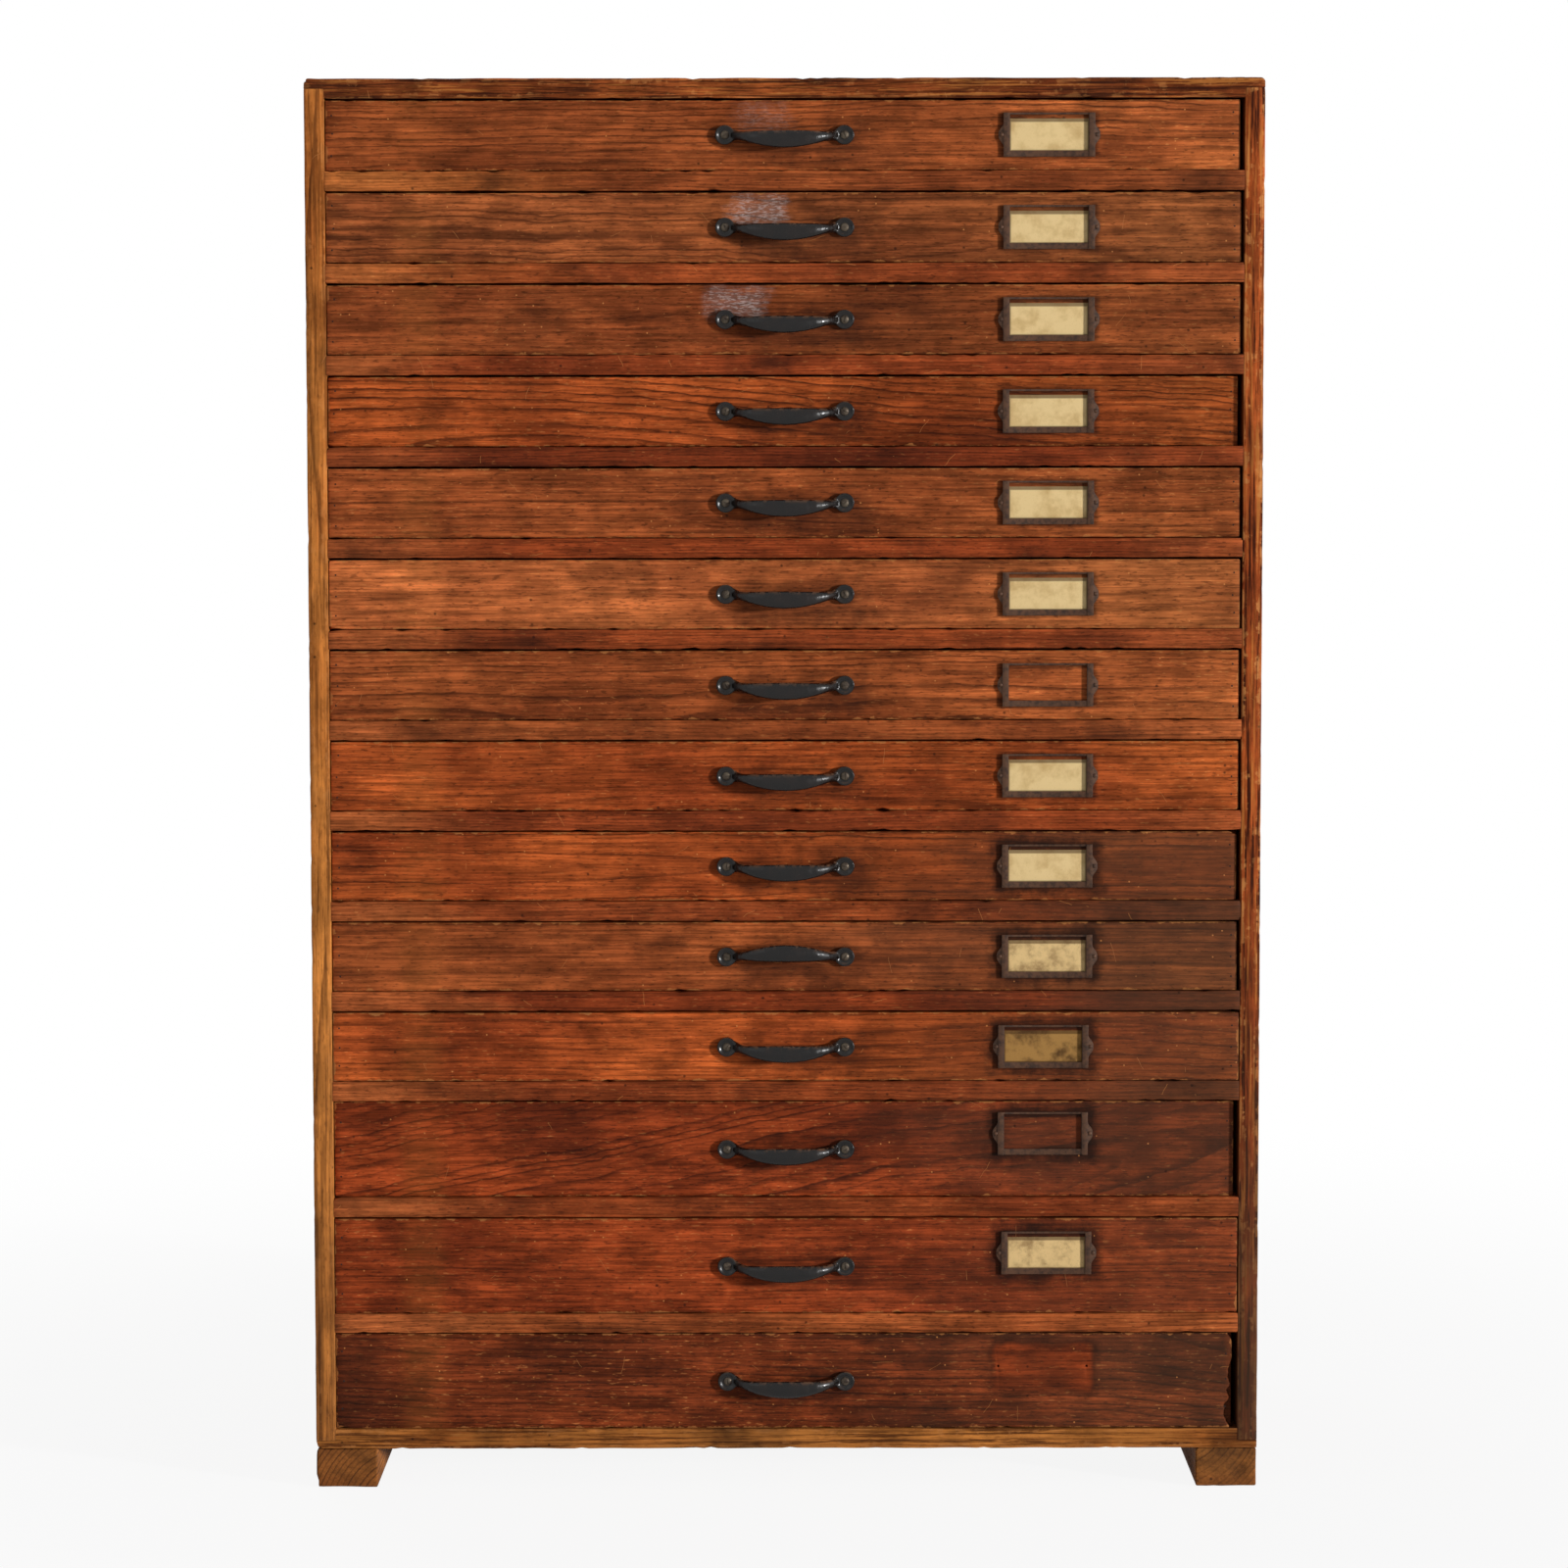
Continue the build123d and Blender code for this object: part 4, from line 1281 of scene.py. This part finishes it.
def turnPiece(piece, angle, centre):
    makeActive(piece)
    bpy.ops.object.mode_set(mode="EDIT")
    bpy.ops.mesh.select_all(action="SELECT")
    bpy.ops.transform.rotate(value=angle, orient_axis="Y", center_override=centre)
    bpy.ops.object.mode_set(mode="OBJECT")


casting = makeCasting()
screwHead = makeScrewHead()
for number in drawerNumbers:
    low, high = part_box(f"drawer_{number:02d}")
    centre = Vector((0.0, low.y, (low.z + high.z) / 2))
    body = f"drawer_unit_{number:02d}"
    pull = copyPiece(casting, f"pullCasting_{number:02d}", centre)
    if number == pullSizes["turned"]:
        turnPiece(pull, math.pi, centre)
    dress(pull, materials["iron"], body, "pull_iron", f"pull_{number:02d}")
    heads = []
    for side in (-1, 1):
        shift = (side * pullSizes["span"] / 2, pullSizes["footDish"] - pullSizes["footHeight"], 0)
        spot = centre + Vector(shift)
        head = copyPiece(screwHead, "head", spot)
        turnPiece(head, math.radians(pullSizes["slotStep"] * (2 * number + side)), spot)
        heads.append(head)
    screws = joinPieces(f"pullScrews_{number:02d}", heads)
    dress(screws, materials["screw"], body, "screw_steel", f"pull_{number:02d}")
bpy.data.objects.remove(casting)
bpy.data.objects.remove(screwHead)
print("pulls made")


# card holders

cardSizes = {
    "width": 0.080, "height": 0.033, "low": 0.0031, "lift": 0.00035, "warp": 0.00025, "thick": 0.00018,
    "empty": (7, 12), "dirty": 11, "torn": (10, 13),
}
holderSizes = {
    "width": 0.087, "height": 0.0415, "thick": 0.0023, "rim": 0.0017, "bandDepth": 0.0018,
    "earReach": 0.0048, "earHeight": 0.0225, "beadWidth": 0.0056, "beadRise": 0.001,
    "windowWidth": 0.075, "windowHeight": 0.028, "windowLow": 0.0056, "slotWidth": 0.0806, "slotDepth": 0.0007,
    "pinX": 0.0454, "pinRadius": 0.0021, "pinRise": 0.0012,
}


def earReach(height):
    # how far the scalloped ear stands out at a height from its middle
    share = max(0.0, abs(height) / (holderSizes["earHeight"] / 2) - 0.16) / 0.84
    return holderSizes["earReach"] * (1 - share * share * (3 - 2 * min(1.0, share)))


def makeHolderPlate():
    sizes = holderSizes
    half, low, ear = sizes["width"] / 2, sizes["height"] / 2, sizes["earHeight"] / 2
    piece = startBlock("holderPlate", (-half, -sizes["thick"], -low), (half, 0, low))
    rows = [ear * index / 12 for index in range(-12, 13)]
    sliceAcross(piece, 2, rows)
    for side in (-1, 1):
        extrudeFaces(piece, lambda c, n: n.x * side > 0.9 and abs(c.z) < ear, (side * 0.00005, 0, 0))
        for row in rows:
            editFaces(piece, lambda c, n: False)
            bpy.ops.mesh.select_mode(type="VERT")
            bpy.ops.object.mode_set(mode="OBJECT")
            for spot in piece.data.vertices:
                spot.select = abs(spot.co.z - row) < 1e-5 and spot.co.x * side > half + 0.00002
            bpy.ops.object.mode_set(mode="EDIT")
            bpy.ops.transform.translate(value=(side * earReach(row), 0, 0))
            bpy.ops.object.mode_set(mode="OBJECT")
    sliceAcross(piece, 0, (sizes["beadWidth"] - half, half - sizes["beadWidth"]))
    sliceAcross(piece, 0, (-half, half))
    for side in (-1, 1):
        extrudeFaces(
            piece, lambda c, n: n.y < -0.9 and half - sizes["beadWidth"] < c.x * side < half,
            (0, -sizes["beadRise"], 0),
        )
    window = (-low + sizes["windowLow"], -low + sizes["windowLow"] + sizes["windowHeight"])
    wide = sizes["windowWidth"] / 2
    cutAway(
        piece, startBlock("window", (-wide, -0.01, window[0]), (wide, 0.01, window[1])),
        startBlock(
            "band", (-wide, -0.01, window[1] - 0.001),
            (wide, sizes["bandDepth"] - sizes["thick"], low - sizes["rim"]),
        ),
        startBlock(
            "cardSlot", (-sizes["slotWidth"] / 2, -sizes["slotDepth"], window[0] - 0.003),
            (sizes["slotWidth"] / 2, 0.01, low + 0.01),
        ),
    )
    easeEdges(piece, 0.0003, 2, 30)
    shadeByAngle(piece, 30)
    # marks the hollow above the card, for the painted shade there
    slack = 0.0004
    floorY = sizes["bandDepth"] - sizes["thick"] - slack
    top = low - sizes["rim"] + slack
    hollowShadeMask = [
        float(spot.co.y > floorY and abs(spot.co.x) < wide + slack and window[1] - 0.002 < spot.co.z < top)
        for spot in piece.data.vertices
    ]
    piece.data.attributes.new("hollowShade", "FLOAT", "POINT").data.foreach_set("value", hollowShadeMask)
    return piece


def makeCard(number, plateLow, plateHigh, faceY):
    sizes = cardSizes
    middle = (plateLow.x + plateHigh.x) / 2
    low = plateLow.z + sizes["low"]
    clearSelection()
    bpy.ops.mesh.primitive_grid_add(
        x_subdivisions=16, y_subdivisions=8, size=1, rotation=(math.pi / 2, 0, 0),
        location=(middle, faceY - sizes["lift"], low + sizes["height"] / 2),
    )
    card = bpy.context.active_object
    card.name = f"card_{number:02d}"
    card.scale = (sizes["width"], sizes["height"], 1)
    settle(card)
    applyModifier(
        card, "DISPLACE", texture=wearTextures["warped"], texture_coords="LOCAL", direction="Y",
        strength=-sizes["warp"], mid_level=0.5,
    )
    applyModifier(card, "SOLIDIFY", thickness=sizes["thick"])
    shadeByAngle(card)
    finish = "dirtyCard" if number == sizes["dirty"] else "tornCard" if number in sizes["torn"] else "card"
    dress(card, materials[finish], f"drawer_unit_{number:02d}", "holder_metal", f"card_holder_{number:02d}")


holderPlate = makeHolderPlate()
pinHead = startDome(16, 8, holderSizes["pinRadius"], holderSizes["pinRise"], 0.0002)
for number in drawerNumbers[:-1]:
    node = f"card_holder_{number:02d}"
    body = f"drawer_unit_{number:02d}"
    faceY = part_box(f"drawer_{number:02d}")[0].y
    low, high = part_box(node)
    centre = Vector(((low.x + high.x) / 2, faceY, (low.z + high.z) / 2))
    plate = copyPiece(holderPlate, f"cardFrame_{number:02d}", centre)
    dress(plate, materials["holder"], body, "holder_metal", node)
    heads = []
    for side in (-1, 1):
        shift = Vector((side * holderSizes["pinX"], -holderSizes["thick"], 0))
        heads.append(copyPiece(pinHead, "head", centre + shift))
    pins = joinPieces(f"cardPins_{number:02d}", heads)
    shadeByAngle(pins)
    dress(pins, materials["holder"], body, "holder_metal", node)
    if number not in cardSizes["empty"]:
        plateLow, plateHigh = cornersOf(plate)
        makeCard(number, plateLow, plateHigh, faceY)
bpy.data.objects.remove(holderPlate)
bpy.data.objects.remove(pinHead)
print("card holders made")


# studio

studio = {
    "cameraPlace": (0.0027, -4.4675, 0.9975), "cameraTilt": (85.755, 0.082, 0.050), "lens": 100.57,
    "lamps": {  # place, size and power
        "keyLamp": ((12.2, -7.3, 2.3), 1.0, 2250.0), "fillLamp": ((-2.8, -3.6, 3.0), 2.6, 11.0),
        "backLamp": ((-2.4, 5.0, 3.4), 3.0, 70.0),
    },
    "worldLight": 0.22, "floorSize": 30.0, "floorWhite": 0.9, "floorFade": (0.6, 2.2),
}


def aimLamp(name, place, size, power, target=(0, 0, 0.7)):
    lamp = bpy.data.lights.new(name, "AREA")
    lamp.shape = "SQUARE"
    lamp.size = size
    lamp.energy = power
    holder = bpy.data.objects.new(name, lamp)
    holder.location = place
    holder.rotation_euler = (Vector(target) - Vector(place)).to_track_quat("-Z", "Y").to_euler()
    bpy.context.collection.objects.link(holder)


def seenDirectly():
    # 1 for rays that show the background: straight from the camera, mirrored or through glass
    path = newNode("LightPath")
    seen = calc("MAXIMUM", path.outputs["Is Camera Ray"], path.outputs["Is Glossy Ray"])
    return calc("MAXIMUM", seen, path.outputs["Is Transmission Ray"])


def makeFloor():
    clearSelection()
    bpy.ops.mesh.primitive_plane_add(size=studio["floorSize"], location=(0, 0, 0))
    floor = bpy.context.active_object
    floor.name = "studioFloor"
    material = bpy.data.materials.new("studioFloor")
    material.use_nodes = True
    tree = openTree(material.node_tree)
    output = next(node for node in tree.nodes if node.type == "OUTPUT_MATERIAL")
    shader = next(node for node in tree.nodes if node.type == "BSDF_PRINCIPLED")
    shader.inputs["Base Color"].default_value = (0.8, 0.8, 0.8, 1)
    shader.inputs["Roughness"].default_value = 0.9
    glow = newNode("Emission")
    mix = newNode("MixShader")
    far = calcVector("LENGTH", newNode("TexCoord").outputs["Object"])
    put(mix.inputs[0], times(seenDirectly(), ease(far, *studio["floorFade"], studio["floorWhite"], 1.0)))
    tree.links.new(shader.outputs[0], mix.inputs[1])
    tree.links.new(glow.outputs[0], mix.inputs[2])
    tree.links.new(mix.outputs[0], output.inputs["Surface"])
    floor.data.materials.append(material)


def makeWorld():
    world = bpy.data.worlds.new("studioWorld")
    bpy.context.scene.world = world
    world.use_nodes = True
    tree = openTree(world.node_tree)
    background = next(node for node in tree.nodes if node.type == "BACKGROUND")
    background.inputs["Color"].default_value = (1, 1, 1, 1)
    put(background.inputs["Strength"], ease(seenDirectly(), 0.0, 1.0, studio["worldLight"], 1.0))


def makeCamera():
    lens = bpy.data.cameras.new("studioCamera")
    lens.lens = studio["lens"]
    lens.sensor_width = 36.0
    lens.clip_end = 60.0
    camera = bpy.data.objects.new("studioCamera", lens)
    camera.location = studio["cameraPlace"]
    camera.rotation_euler = [math.radians(angle) for angle in studio["cameraTilt"]]
    bpy.context.collection.objects.link(camera)
    bpy.context.scene.camera = camera


makeFloor()
makeWorld()
makeCamera()
for name, (place, size, power) in studio["lamps"].items():
    aimLamp(name, place, size, power)
bpy.context.scene.view_settings.view_transform = "Standard"
print("studio lit")
